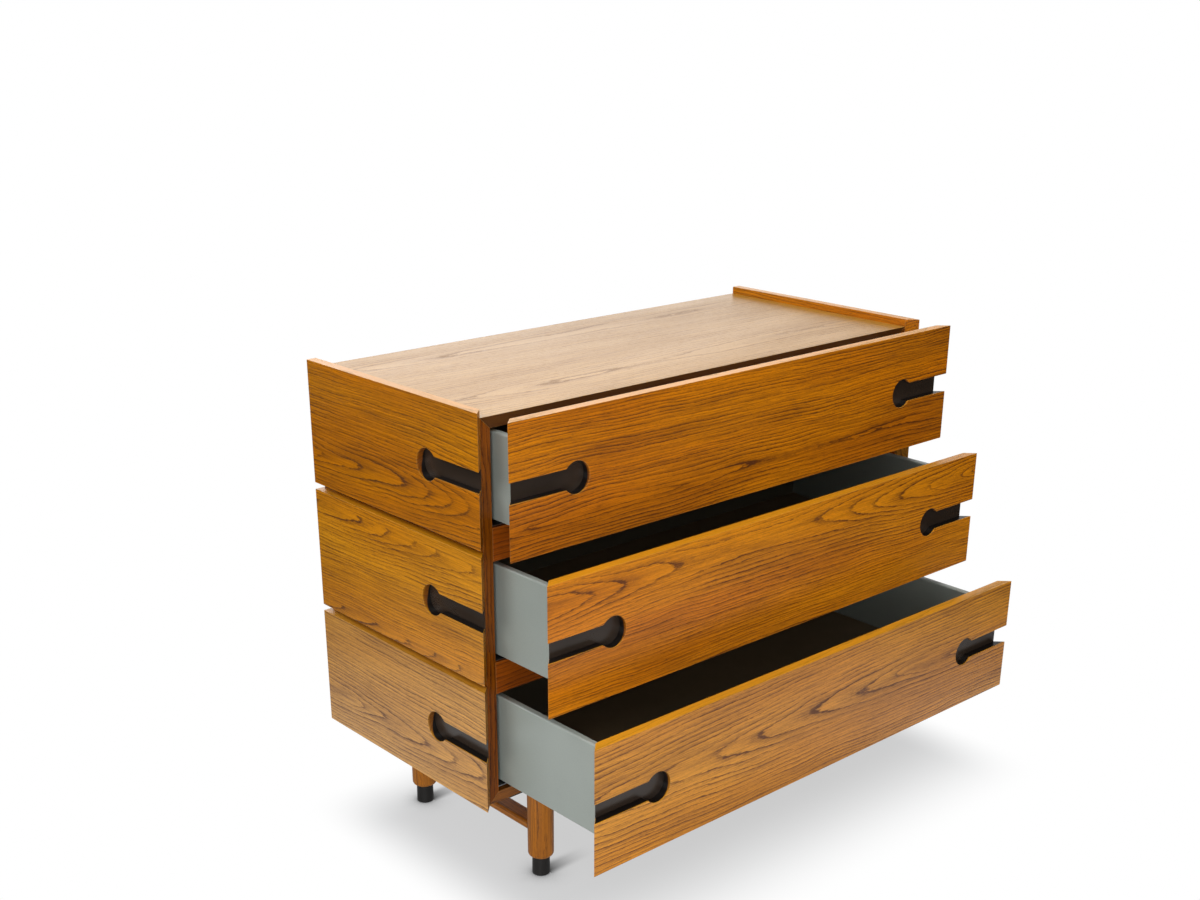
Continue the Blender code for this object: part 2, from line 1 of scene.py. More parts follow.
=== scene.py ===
# %% [markdown]
# # A three-drawer dresser, dressed for its portrait
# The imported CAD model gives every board, runner and leg its place and its motion, but its edges are
# knife-sharp and its surfaces have no wood in them. This lesson puts a finished piece over each CAD
# node: boards with eased edges, turned legs, folded steel runners, and oak whose growth rings run
# through the solid, so that a face, an edge and an end all belong to one tree.

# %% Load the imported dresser
import itertools
import math
from functools import partial

import bmesh
import bpy
from mathutils import Matrix, Vector


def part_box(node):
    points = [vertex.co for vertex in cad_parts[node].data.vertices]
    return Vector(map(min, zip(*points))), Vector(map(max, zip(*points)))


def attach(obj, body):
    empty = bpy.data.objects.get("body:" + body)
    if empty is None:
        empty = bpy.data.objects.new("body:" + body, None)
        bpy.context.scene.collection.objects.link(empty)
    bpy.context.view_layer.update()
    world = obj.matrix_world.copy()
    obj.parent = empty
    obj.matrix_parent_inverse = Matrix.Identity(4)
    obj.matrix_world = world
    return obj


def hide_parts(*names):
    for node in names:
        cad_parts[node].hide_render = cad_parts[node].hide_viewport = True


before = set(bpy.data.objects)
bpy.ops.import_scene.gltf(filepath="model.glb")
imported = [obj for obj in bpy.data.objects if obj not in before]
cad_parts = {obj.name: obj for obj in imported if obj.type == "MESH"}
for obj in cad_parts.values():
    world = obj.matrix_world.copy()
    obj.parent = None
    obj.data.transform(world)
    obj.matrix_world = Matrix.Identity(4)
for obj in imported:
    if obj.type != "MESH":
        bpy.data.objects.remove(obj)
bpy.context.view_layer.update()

# %% [markdown]
# ## The sizes
# What a box doesn't tell, such as the round of a pull or the gauge of the steel, is named once, in
# metres, where it is first needed. Boards that touch are kept apart by a hair, the seat, so that no
# two faces coincide.

# %% Rows, sides and the places of the bands
ROWS = ("upper", "middle", "lower")
SIDES = {"left": -1, "right": 1}
BOARD = 0.019
SEAT = 0.0003


def middle_of(node):
    """The middle of a CAD node's box."""
    return [(low + high) / 2 for low, high in zip(*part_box(node))]


low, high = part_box("cladding_left_upper")
HALF_WIDTH = -low.x
FRONT_Y, REAR_Y = low.y, high.y
BAND = {row: [corner.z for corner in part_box("cladding_left_" + row)] for row in ROWS}
MIDDLE_Z = {row: sum(BAND[row]) / 2 for row in ROWS}
FACE_Y = {row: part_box("drawer_front_" + row)[0].y for row in ROWS}
print("width", round(2 * HALF_WIDTH, 4), "front", round(FRONT_Y, 4), "rear", round(REAR_Y, 4))
print("drawn out:", {row: round(FRONT_Y - FACE_Y[row], 4) for row in ROWS})

# %% [markdown]
# Every step below draws a shape with bmesh, turns it into a mesh and links it to the scene as an
# object, so those two moves are written once.

# %% Helpers for meshes and objects
def as_mesh(shape, name):
    """A mesh from a bmesh, which is freed."""
    mesh = bpy.data.meshes.new(name)
    shape.to_mesh(mesh)
    shape.free()
    return mesh


def in_scene(name, data):
    """A new object in the scene."""
    made = bpy.data.objects.new(name, data)
    bpy.context.scene.collection.objects.link(made)
    return made


def verts_of(geometry):
    """The vertices in what a bmesh operator returns."""
    return [part for part in geometry if isinstance(part, bmesh.types.BMVert)]


# %% [markdown]
# ## The camera
# The photograph was taken from above the left front corner with a longish lens, and the dresser sits
# low in the frame. A camera is placed by its own three axes, so that no roll creeps in, and the low
# place of the dresser comes from the lens shift and not from a tilt.

# %% Portrait camera
EYE = Vector((-1.8764, -1.87948, 1.4753))
LOOK = Vector((0.61666, 0.68810, -0.38243))
RIGHT = Vector((0.74575, -0.66621, 0.00380))

lens = bpy.data.cameras.new("portrait lens")
lens.sensor_fit = "HORIZONTAL"
lens.sensor_width = 36.0
lens.lens = 45.88
lens.shift_y = 0.1414
lens.clip_start = 0.05
lens.clip_end = 60.0
camera = in_scene("portrait camera", lens)
back = -LOOK.normalized()
right = (RIGHT - RIGHT.dot(back) * back).normalized()
axes = Matrix((right, back.cross(right), back)).transposed()
camera.matrix_world = Matrix.Translation(EYE) @ axes.to_4x4()
bpy.context.scene.camera = camera
print("camera at", tuple(round(c, 3) for c in EYE))

# %% [markdown]
# ## The studio
# The dresser stands on white paper that glows white in its own shader, like paper lit until it burns
# out, so the camera sees only a soft grey pool, a dark patch round each foot and a short shadow to its
# right that fades as it goes. They are painted shade, drawn in the floor's own shader, because a
# studio lights the paper apart from the object. What the lacquer mirrors is another matter: for
# mirrored and bounced rays the paper is a glowing disc, painted bright round the dresser, with painted
# shade under it and dim further out, which lays a pale veil over the lower boards and leaves the upper
# ones deep amber. The backdrop is bright behind the dresser, where the top mirrors it at a low angle,
# and the rest of the room is dim, which keeps the drawers dark inside.

# %% Helpers for shader nodes
def rgb(red, green, blue):
    """An sRGB colour, 0 to 255, as the linear colour that shaders work in."""
    linear = [c / 255 / 12.92 if c <= 10 else ((c / 255 + 0.055) / 1.055) ** 2.4
              for c in (red, green, blue)]
    return (*linear, 1.0)


def new_material(name):
    """A material with nodes, its tree and its Principled shader."""
    material = bpy.data.materials.new(name)
    material.use_nodes = True
    return material, material.node_tree, material.node_tree.nodes["Principled BSDF"]


def marked(tree, name):
    """A mark that the modelling left on the faces, as a mask."""
    return put(tree, "Attribute", {"attribute_name": name}).outputs["Fac"]


def coat(surface, colour, made, bump, depth):
    """Wires from a group to the Principled shader: colour, roughness and relief."""
    link(colour, surface.inputs["Base Color"])
    link(made["Roughness"], surface.inputs["Roughness"])
    relief = put(surface.id_data, "Bump", Height=made["Height"], Strength=bump, Distance=depth)
    link(relief.outputs[0], surface.inputs["Normal"])


def put(tree, kind, settings=None, **inputs):
    """A node in a tree: its settings, and its inputs as values or as sockets to link.

    An input goes by its name, or by its number where several share a name: i0 is the first.
    """
    made = tree.nodes.new("ShaderNode" + kind)
    for name, value in (settings or {}).items():
        setattr(made, name, value)
    for name, value in inputs.items():
        key = int(name[1:]) if name[0] == "i" and name[1:].isdigit() else name.replace("_", " ")
        if isinstance(value, bpy.types.NodeSocket):
            tree.links.new(value, made.inputs[key])
        else:
            made.inputs[key].default_value = value
    return made


def tree_of(*values):
    """The node tree that the first socket among some values belongs to."""
    return next(value.id_data for value in values if isinstance(value, bpy.types.NodeSocket))


def link(value, socket):
    """A wire from one socket to another."""
    value.id_data.links.new(value, socket)


def calc(operation, first, second=0.0, third=0.0, clamp=False):
    """The result of one Math node, in the tree of its inputs."""
    return put(tree_of(first, second, third), "Math", {"operation": operation, "use_clamp": clamp},
               i0=first, i1=second, i2=third).outputs[0]


plus, minus, times = partial(calc, "ADD"), partial(calc, "SUBTRACT"), partial(calc, "MULTIPLY")
times_plus = partial(calc, "MULTIPLY_ADD")


def ramp(value, start, end, low=0.0, high=1.0, kind="SMOOTHSTEP"):
    """A value carried from one range into another."""
    return put(value.id_data, "MapRange", {"interpolation_type": kind}, Value=value, From_Min=start,
               From_Max=end, To_Min=low, To_Max=high).outputs[0]


def blend(share, first, second):
    """Two colours mixed by a share."""
    return put(tree_of(share, first, second), "Mix", {"data_type": "RGBA"}, i0=share, i6=first,
               i7=second).outputs[2]


# %% Paper floor
FLOOR_RADIUS = 9.0
WHITE = (1.0, 1.0, 1.0, 1.0)
POOL_MIDDLE_X = 0.05
POOL_SIDE, POOL_FRONT, POOL_REAR = (0.47, 0.63), (0.13, 0.44), (0.27, 0.47)
OWN_LIGHT, PAPER_LIGHT = 0.85, 0.675
CONTACT_REACH, CONTACT_SHADE = 0.06, (0.25, 0.95)
CAST_START, CAST_LENGTH, CAST_EDGE, CAST_DEPTH = 0.01, 0.12, (0.024, 0.006), 0.85
GLOW, GLOW_REACH, GLOW_UNDER, UNDER_REACH = 1.1, (0.85, 1.75), 0.25, (0.62, 0.86)

shape = bmesh.new()
bmesh.ops.create_circle(shape, cap_ends=True, segments=96, radius=FLOOR_RADIUS)
floor = in_scene("paper_floor", as_mesh(shape, "paper floor"))
paper, tree, surface = new_material("paper sweep")
surface.inputs["Base Color"].default_value = rgb(208, 214, 222)
surface.inputs["Roughness"].default_value = 0.6
spot = put(tree, "TexCoord").outputs["Object"]
place = put(tree, "SeparateXYZ", i0=spot).outputs
aside = calc("ABSOLUTE", minus(place["X"], POOL_MIDDLE_X))
forward = times(place["Y"], -1.0)
in_pool = times(ramp(forward, *POOL_FRONT, 1.0, 0.0), ramp(place["Y"], *POOL_REAR, 1.0, 0.0))
in_pool = times(ramp(aside, *POOL_SIDE, 1.0, 0.0), in_pool)
open_air = put(tree, "AmbientOcclusion", {"samples": 8}, Distance=CONTACT_REACH).outputs["AO"]
glow = times(ramp(open_air, *CONTACT_SHADE), ramp(in_pool, 0.0, 1.0, 1.0, PAPER_LIGHT, "LINEAR"))
for foot_name in ("front_left", "front_right", "rear_left", "rear_right"):
    foot = middle_of("leg_" + foot_name)
    away = minus(place["X"], foot[0] + CAST_START)
    fade = minus(1.0, calc("DIVIDE", away, CAST_LENGTH), clamp=True)
    beside = calc("ABSOLUTE", minus(place["Y"], foot[1]))
    cast = times(times(fade, fade), ramp(beside, *CAST_EDGE))
    cast = times(cast, calc("GREATER_THAN", away, 0.0))
    glow = times(glow, times_plus(cast, -CAST_DEPTH, 1.0))
light = put(tree, "Emission", Color=WHITE, Strength=glow).outputs[0]
mixed = put(tree, "MixShader", i0=ramp(in_pool, 0.0, 1.0, 1.0, OWN_LIGHT, "LINEAR"),
            i1=surface.outputs[0], i2=light).outputs[0]
reach = put(tree, "VectorMath", {"operation": "LENGTH"}, i0=spot).outputs["Value"]
# Painted glow that the lacquer mirrors: bright round the dresser, painted shade under it, dim further out.
mirror_glow = times(ramp(reach, *GLOW_REACH, GLOW, 0.0), ramp(reach, *UNDER_REACH, GLOW_UNDER, 1.0))
veil = put(tree, "Emission", Color=WHITE, Strength=mirror_glow).outputs[0]
seen = put(tree, "LightPath").outputs["Is Camera Ray"]
shown = put(tree, "MixShader", i0=seen, i1=veil, i2=mixed).outputs[0]
link(shown, tree.nodes["Material Output"].inputs["Surface"])
floor.data.materials.append(paper)
print("floor radius", FLOOR_RADIUS)

# %% Lamps and surrounding light
# Each softbox: where it stands, where it looks, its size in metres and its watts.
SOFTBOXES = {
    "main": ((-2.1, -1.5, 0.5), (-0.3, -0.1, 0.35), 1.1, 25.5),
    "front": ((-0.2, -2.6, 1.2), (0.0, 0.0, 0.45), 1.4, 14.0),
    "brow": ((0.2, -1.0, 2.6), (0.0, -0.25, 0.5), 1.0, 22.0),
    "high left": ((-2.0, 0.2, 2.1), (0.0, 0.0, 0.8), 1.2, 28.5),
    "overhead": ((-0.1, 0.5, 2.8), (0.0, 0.1, 0.8), 1.4, 9.0),
    "fill": ((-1.2, -2.1, 2.1), (0.0, -0.2, 0.4), 1.0, 10.0),
}
for name, (stand, aim, size, watts) in SOFTBOXES.items():
    lamp = bpy.data.lights.new(name + " softbox", "AREA")
    lamp.shape = "SQUARE"
    lamp.size = size
    lamp.energy = watts
    holder = in_scene(name + " softbox", lamp)
    holder.location = stand
    holder.rotation_euler = (Vector(aim) - Vector(stand)).to_track_quat("-Z", "Y").to_euler()

ROOM, BACKDROP = 0.06, 2.2
BACKDROP_WAY, BACKDROP_EDGE = (0.26, 0.966, 0.0), (0.55, 0.95)
world = bpy.data.worlds.new("studio air")
world.use_nodes = True
bpy.context.scene.world = world
tree = world.node_tree
way = put(tree, "TexCoord").outputs["Generated"]
towards = put(tree, "VectorMath", {"operation": "DOT_PRODUCT"}, i0=way, i1=BACKDROP_WAY)
around = ramp(towards.outputs["Value"], *BACKDROP_EDGE, ROOM, BACKDROP)
seen = put(tree, "LightPath").outputs["Is Camera Ray"]
strength = times_plus(seen, minus(1.0, around), around)
background = tree.nodes["Background"]
background.inputs["Color"].default_value = WHITE
link(strength, background.inputs["Strength"])
bpy.context.scene.view_settings.view_transform = "Standard"

# %% [markdown]
# ## Oak
# The boards are plain-sawn oak under satin lacquer. A tree is a set of nested cones, and a plain-sawn
# board cuts them almost lengthwise, so the rings show as pointed arches in the middle of the board
# and as straight lines at its edges. The group below works out how far a point of the board is from
# the tree's pith, and gives each ring a dark porous start that fades to dense late wood. What the eye
# sees in that start is mostly pores: short dashes along the grain, which make an arch look jagged at
# its tip. Because all of it depends on the place in the solid, edges and ends need nothing of their
# own. A wide panel is laid up from leaves of one figure side by side, so the pattern can repeat
# across the board.

# %% Oak as a shader node group
BLACK, ORIGIN = (0.0, 0.0, 0.0, 1.0), (0.0, 0.0, 0.0)
SOCKETS = {1: "NodeSocketFloat", 3: "NodeSocketVector", 4: "NodeSocketColor"}


def new_group(name, inputs, outputs):
    """An empty shader group: one number makes a float socket, three a vector and four a colour."""
    group = bpy.data.node_groups.new(name, "ShaderNodeTree")
    for direction, sockets in (("INPUT", inputs), ("OUTPUT", outputs)):
        for label, value in sockets.items():
            kind = SOCKETS[len(value) if isinstance(value, tuple) else 1]
            socket = group.interface.new_socket(label, in_out=direction, socket_type=kind)
            socket.default_value = value
    return group, group.nodes.new("NodeGroupInput").outputs, group.nodes.new("NodeGroupOutput").inputs


def stretched(vector, scale, detail=2.0, roughness=0.5):
    """Noise in a space that is stretched by a different amount along each axis."""
    tree = vector.id_data
    wide = put(tree, "VectorMath", {"operation": "MULTIPLY"}, i0=vector, i1=scale).outputs[0]
    return put(tree, "TexNoise", Vector=wide, Scale=1.0, Detail=detail,
               Roughness=roughness).outputs["Fac"]


def wobble(vector, scale, reach, detail=1.0):
    """A noise that swings about zero, as far as the reach to either side."""
    noise = stretched(vector, scale, detail)
    return times(minus(noise, 0.5), 2.0 * reach)


# How often each pattern repeats in a metre along the grain, across it and through the board.
SWERVE, DRIFT, WAVES, RIPPLES = (3.5, 8.0, 8.0), (1.7, 2.6, 2.0), (10.0, 30.0, 30.0), (60.0, 300.0, 300.0)
LONG_PORES, SHORT_PORES, FIBRE = (60.0, 420.0, 420.0), (190.0, 760.0, 760.0), (10.0, 420.0, 420.0)
FADING, CLOUDS, PATCHES = (4.0, 30.0, 30.0), (2.2, 15.0, 15.0), (1.3, 7.0, 7.0)
# How far the first, third and fourth of them move a ring, in metres.
SWERVE_REACH, WAVE_REACH, RIPPLE_REACH = 0.012, 0.0026, 0.0011
# Eased edges lean towards this colour: partly wear, partly a painted highlight.
WORN_AND_LIT_OAK = (0.62, 0.40, 0.17, 1.0)

# The group's X axis lies along the grain, Y across it, and Z points out of the board's face.
OAK_GROUP, given, made = new_group(
    "oak in the solid",
    {"Vector": ORIGIN, "Seed": ORIGIN, "Heart": 0.0, "Pith": 0.05, "Taper": 0.06, "Bend": 0.0,
     "Ring": 0.006, "Wander": 0.02, "Leaf": 10.0, "Contrast": 0.85, "Light": WHITE, "Warm": WHITE,
     "Dark": BLACK, "Arris": 0.0},
    {"Color": WHITE, "Roughness": 0.5, "Height": 0.0})
here = put(OAK_GROUP, "VectorMath", {"operation": "ADD"}, i0=given["Vector"], i1=given["Seed"]).outputs[0]
along, across, out = put(OAK_GROUP, "SeparateXYZ", i0=given["Vector"]).outputs
leaf = plus(calc("DIVIDE", across, given["Leaf"]), 0.5)
in_leaf = minus(calc("FRACT", leaf), 0.5)
across = times(in_leaf, given["Leaf"])

side = plus(minus(across, given["Heart"]), wobble(here, SWERVE, SWERVE_REACH, 2.0))
slope = times_plus(along, given["Bend"], given["Taper"])
deep = minus(times_plus(along, slope, given["Pith"]), out)
deep = plus(deep, times(wobble(here, DRIFT, 1.0), given["Wander"]))
radius = calc("SQRT", plus(times(side, side), times(deep, deep)))
radius = plus(radius, wobble(here, WAVES, WAVE_REACH, 2.0))
radius = plus(radius, wobble(here, RIPPLES, RIPPLE_REACH, 2.0))

# Rings are counted outwards: their width varies, and each has its own strength.
rings = calc("DIVIDE", radius, given["Ring"])
line = {"noise_dimensions": "1D"}
uneven = put(OAK_GROUP, "TexNoise", line, W=times(rings, 0.37), Scale=1.0, Detail=1.0).outputs["Fac"]
rings = times_plus(uneven, 1.5, rings)
phase = calc("FRACT", rings)
number = put(OAK_GROUP, "TexWhiteNoise", line, W=calc("FLOOR", rings)).outputs["Value"]
fading = ramp(stretched(here, FADING, 1.0), 0.3, 0.6, 0.45, 1.0)
bold = times(times_plus(number, 0.54, 0.48), fading)
# The dark start of a ring rises over a tenth of it, falls off quickly and leaves a long faint tail.
tail = times_plus(ramp(phase, 0.26, 0.10), 0.68, times(ramp(phase, 0.80, 0.2), 0.32))
early = times(times(ramp(phase, 0.0, 0.10), tail), bold)

limit = times_plus(early, -0.16, 0.58)
strength = times_plus(early, 0.75, 0.19, clamp=True)
pores = 0.0
for scale in (LONG_PORES, SHORT_PORES):
    dash = ramp(minus(stretched(here, scale, 1.0), limit), 0.0, 0.07)
    pores = calc("MAXIMUM", pores, times(dash, strength))

fibre = stretched(here, FIBRE, 3.0, 0.65)
cloud = stretched(here, CLOUDS, 3.0)
patch = stretched(here, PATCHES)
ground = blend(ramp(patch, 0.36, 0.64), given["Light"], given["Warm"])
depth = times_plus(times(early, given["Contrast"]), 1.2, 0.05)
depth = plus(depth, ramp(fibre, 0.30, 0.70, -0.22, 0.42, "LINEAR"))
depth = plus(depth, ramp(cloud, 0.30, 0.70, -0.08, 0.24, "LINEAR"), clamp=True)
colour = blend(depth, ground, given["Dark"])
pit = blend(0.35, given["Dark"], BLACK)
pored = blend(times(pores, given["Contrast"]), colour, pit)
link(blend(times(given["Arris"], 0.16), pored, WORN_AND_LIT_OAK), made["Color"])
link(times_plus(pores, 0.2, ramp(cloud, 0.2, 0.8, 0.29, 0.36)), made["Roughness"])
height = times_plus(pores, -0.8, times(fibre, 0.3))
link(times_plus(early, -0.25, height), made["Height"])
print("oak group nodes:", len(OAK_GROUP.nodes))

# %% [markdown]
# The keyholes are wood only at their rim. Deeper in, the walls are darkened to the near-black of the
# plate that closes them, a painted shade of the deep, narrow hole, which makes the pull read as one
# black shape. The group turns the depth under the board's face into two masks of painted shade: a
# brown one that begins at the rim, and a black one below it. The black starts at the depth called
# Rim, and where a wall faces up, almost at the face.

# %% Painted shade in the pulls
# Painted shade in the keyholes: near-black deep in, brown from the rim.
PULL_DEEP_SHADE, WALL_BROWN = rgb(18, 13, 10), rgb(116, 60, 16)
SILL_DEPTH, DEEP_SHADE_BLEND = 0.0012, 0.0012
WALL_SHADE, RIM_SHADE_DEPTH = 0.75, 0.005

PULL_SHADE_GROUP, given, made = new_group(
    "lined pull", {"Vector": ORIGIN, "Pull": 0.0, "Up": 0.0, "Rim": 0.01}, {"DeepShade": 0.0, "Shade": 0.0})
out = put(PULL_SHADE_GROUP, "SeparateXYZ", i0=given["Vector"]).outputs["Z"]
depth = calc("ABSOLUTE", out)
rim = ramp(given["Up"], 0.0, 1.0, given["Rim"], SILL_DEPTH, "LINEAR")
below = ramp(minus(depth, rim), 0.0, DEEP_SHADE_BLEND)
link(times(below, given["Pull"]), made["DeepShade"])
shaded = ramp(depth, 0.0, RIM_SHADE_DEPTH, 0.0, WALL_SHADE)
link(times(shaded, given["Pull"]), made["Shade"])
print("lining group nodes:", len(PULL_SHADE_GROUP.nodes))

# %% [markdown]
# Each board gets its own material from the same groups, because each was cut from another place in
# the tree. A Mapping node of the Texture kind puts the pattern's own frame on the board: its X axis
# follows the grain, its Y axis runs across, and its origin is the board's middle. Two marks depend on
# the way a face looks, and both are painted light: a brow below 1 paints shade on the edge that faces
# the front, as on the top, and a value above 0 for the up-facing edge paints a highlight on that edge,
# as on fronts and claddings.

# %% A material for one oak board
# The light, warm and dark colour of the wood.
TONES = {
    "amber": ((215, 130, 6), (204, 115, 5), (98, 48, 4)),
    "ochre": ((205, 130, 3), (194, 115, 2), (92, 48, 2)),
    "honey": ((223, 139, 14), (212, 121, 5), (102, 50, 4)),
    "gold": ((214, 144, 24), (205, 130, 16), (102, 56, 9)),
    # tan and sand, for the lower boards, are paler partly as a painted reflection of the bright paper.
    "tan": ((220, 147, 35), (214, 137, 27), (108, 59, 16)),
    "sand": ((212, 154, 68), (206, 144, 56), (112, 68, 28)),
    "pale": ((190, 139, 52), (184, 133, 45), (137, 94, 38)),
    # shade, for the side panels, is darkened as painted shade: they show in the gaps and behind the
    # fronts.
    "shade": ((156, 84, 6), (144, 72, 4), (70, 32, 2)),
    "base": ((160, 94, 20), (150, 86, 16), (70, 34, 4)),
    "rail": ((184, 92, 6), (172, 84, 6), (90, 38, 4)),
    "leg": ((208, 130, 26), (198, 119, 22), (104, 54, 6)),
}
# Painted shade for edges that face the front, and a painted highlight for edges that face up.
BROW_SHADE, UP_EDGE_HIGHLIGHT = rgb(58, 16, 2), rgb(222, 156, 26)
AXIS = {"X": Vector((1, 0, 0)), "Y": Vector((0, 1, 0)), "Z": Vector((0, 0, 1))}
EDGE_ON, FACE_ON = 0.5, 0.9
PORE_BUMP, PORE_DEPTH = 0.16, 0.0006
BOARD_STEP = 1.37
board_number = itertools.count(1)


def oak(name, grain, across, middle, tone, heart, pith, taper, bend=0.0, ring=0.0056, wander=0.02,
        contrast=0.72, leaf=10.0, rim=None, brow=1.0, up_highlight=0.0, gleam=0.5):
    """Lacquered oak whose grain lies along one axis of the object.

    Heart, pith and taper place the board in its tree: the arches stand at the heart, the pith lies
    that far under the face, and the taper tilts it along the board. Gleam is the lacquer's shine.
    """
    material, tree, surface = new_material("oak " + name)
    turn = Matrix((AXIS[grain], AXIS[across], AXIS[grain].cross(AXIS[across]))).transposed()
    place = put(tree, "TexCoord").outputs
    mapped = put(tree, "Mapping", {"vector_type": "TEXTURE"}, Vector=place["Object"], Location=middle,
                 Rotation=turn.to_euler()).outputs[0]
    light, warm, dark = (rgb(*colour) for colour in TONES[tone])
    wood = put(tree, "Group", {"node_tree": OAK_GROUP}, Vector=mapped,
               Seed=[next(board_number) * BOARD_STEP] * 3, Heart=heart, Pith=pith, Taper=taper, Bend=bend,
               Ring=ring, Wander=wander, Leaf=leaf, Contrast=contrast, Light=light, Warm=warm, Dark=dark,
               Arris=marked(tree, "arris")).outputs
    facing = put(tree, "SeparateXYZ", i0=place["Normal"]).outputs
    # A brow below 1 paints shade on faces that look to the front.
    forward = ramp(facing["Y"], -EDGE_ON, -FACE_ON, 0.0, 1.0 - brow)
    colour = blend(forward, wood["Color"], BROW_SHADE)
    # A painted highlight on faces that look up.
    upward = ramp(facing["Z"], EDGE_ON, FACE_ON, 0.0, up_highlight)
    colour = blend(upward, colour, UP_EDGE_HIGHLIGHT)
    # Keyhole walls get painted shade by their depth under the face.
    if rim is not None:
        pull_shade = put(tree, "Group", {"node_tree": PULL_SHADE_GROUP}, Vector=mapped, Pull=marked(tree, "pull"),
                    Up=facing["Z"], Rim=rim).outputs
        colour = blend(pull_shade["Shade"], colour, WALL_BROWN)
        colour = blend(pull_shade["DeepShade"], colour, PULL_DEEP_SHADE)
    coat(surface, colour, wood, PORE_BUMP, PORE_DEPTH)
    surface.inputs["Specular IOR Level"].default_value = gleam
    return material


print("tones of oak:", list(TONES))

# %% [markdown]
# ## Painted, dark and metal finishes
# The drawer boxes are sprayed a grey sage, which is never quite even and shows a faint orange peel.
# Their back walls get a darker copy of the sage as painted shade, which keeps the depth of a drawer
# nearly black. The drawer bottoms and the back are dark brown board, the plates in the pulls are
# satin black-brown, the feet and the channel are black powder coat, and the runners are zinc drawn
# along their length. They share one group for unevenness, with another scale and strength in each.

# %% An unevenness group and the other finishes
UNEVEN_GROUP, given, made = new_group(
    "uneven finish",
    {"Vector": ORIGIN, "Stretch": (1.0, 1.0, 1.0), "Cloud": 6.0, "Grain": 900.0, "First": WHITE,
     "Second": BLACK, "Edge": WHITE, "Arris": 0.0, "Smooth": 0.3, "Rough": 0.6},
    {"Color": WHITE, "Roughness": 0.5, "Height": 0.0})
here = given["Vector"]
drawn = put(UNEVEN_GROUP, "VectorMath", {"operation": "MULTIPLY"}, i0=here, i1=given["Stretch"]).outputs[0]
cloud = put(UNEVEN_GROUP, "TexNoise", Vector=here, Scale=given["Cloud"], Detail=3.0).outputs["Fac"]
grain = put(UNEVEN_GROUP, "TexNoise", Vector=drawn, Scale=given["Grain"], Detail=2.0).outputs["Fac"]
share = times_plus(minus(grain, 0.5), 0.7, cloud, clamp=True)
colour = blend(ramp(share, 0.25, 0.75), given["First"], given["Second"])
# Marked edges take the edge shade: partly wear, partly a painted highlight.
link(blend(given["Arris"], colour, given["Edge"]), made["Color"])
link(ramp(share, 0.2, 0.8, given["Smooth"], given["Rough"], "LINEAR"), made["Roughness"])
link(grain, made["Height"])
# How far marked edges lean to the edge shade: partly wear, partly a painted highlight.
PAINT_DEPTH, EDGE_WEAR_AND_HIGHLIGHT = 0.0002, 0.5


def finish(name, first, second, edge, gloss, cloud, grain, bump, metallic=0.0, stretch=(1, 1, 1)):
    """A finish from the unevenness group: two shades, an edge shade that is partly wear and partly a
    painted highlight, and a roughness range.

    Cloud and grain say how often either repeats in a metre, and bump how far the grain stands out.
    """
    material, tree, surface = new_material(name)
    place = put(tree, "TexCoord").outputs["Object"]
    made = put(tree, "Group", {"node_tree": UNEVEN_GROUP}, Vector=place, Stretch=stretch, Cloud=cloud,
               Grain=grain, First=rgb(*first), Second=rgb(*second), Edge=rgb(*edge), Smooth=gloss[0],
               Rough=gloss[1], Arris=times(marked(tree, "arris"), EDGE_WEAR_AND_HIGHLIGHT)).outputs
    coat(surface, made["Color"], made, bump, PAINT_DEPTH)
    surface.inputs["Metallic"].default_value = metallic
    return material


SAGE = finish("sage paint", (146, 153, 147), (139, 146, 140), (184, 192, 187), (0.34, 0.46), 5.0,
              700.0, 0.1)
# The sage of the back walls, darkened as painted shade inside the drawers.
SAGE_PAINTED_SHADE = finish("shaded sage paint", (84, 80, 68), (78, 74, 62), (104, 100, 88), (0.34, 0.46), 5.0,
                     700.0, 0.1)
DARK_BOARD = finish("brown board", (117, 98, 72), (111, 93, 68), (138, 117, 90), (0.5, 0.65), 14.0,
                    1300.0, 0.15)
PLATE = finish("pull plate", (52, 42, 34), (45, 36, 29), (56, 46, 38), (0.26, 0.34), 12.0, 1500.0, 0.06)
BLACK_STEEL = finish("black powder coat", (46, 43, 41), (34, 32, 30), (84, 80, 78), (0.34, 0.5), 25.0,
                     2200.0, 0.3, metallic=0.25)
ZINC = finish("drawn zinc", (198, 200, 202), (160, 163, 166), (225, 226, 228), (0.24, 0.42), 40.0,
              60.0, 0.15, metallic=1.0, stretch=(40, 1, 40))
NYLON = finish("grey nylon", (92, 94, 95), (78, 80, 82), (130, 132, 134), (0.38, 0.5), 30.0, 1600.0, 0.1)
print("finishes:", [m.name for m in bpy.data.materials])

# %% [markdown]
# ## A joiner's helpers
# Every board starts as its section, one flat face, which is extruded along the board and has its
# sharp edges eased by a bevel. The bevel's new faces are marked in an attribute called arris, and
# the finishes read it to make the edges a little lighter, partly as the wear of sanded edges and partly
# as a painted highlight where an edge catches the light. Rounds that were shaped and not just sanded
# get a weaker mark, or none.

# %% Sections, cuts and eased edges
ACROSS = {"X": (1, 2), "Y": (0, 2), "Z": (0, 1)}
SHARP, CREASE, FLAT = math.radians(28), math.radians(40), math.radians(0.1)
WELD = 1e-6
EVEN_WEIGHT = 60
EASE_PLATE, EASE_SHEET, EASE_CARCASS, EASE_BOARD = 0.0003, 0.0004, 0.0005, 0.0006


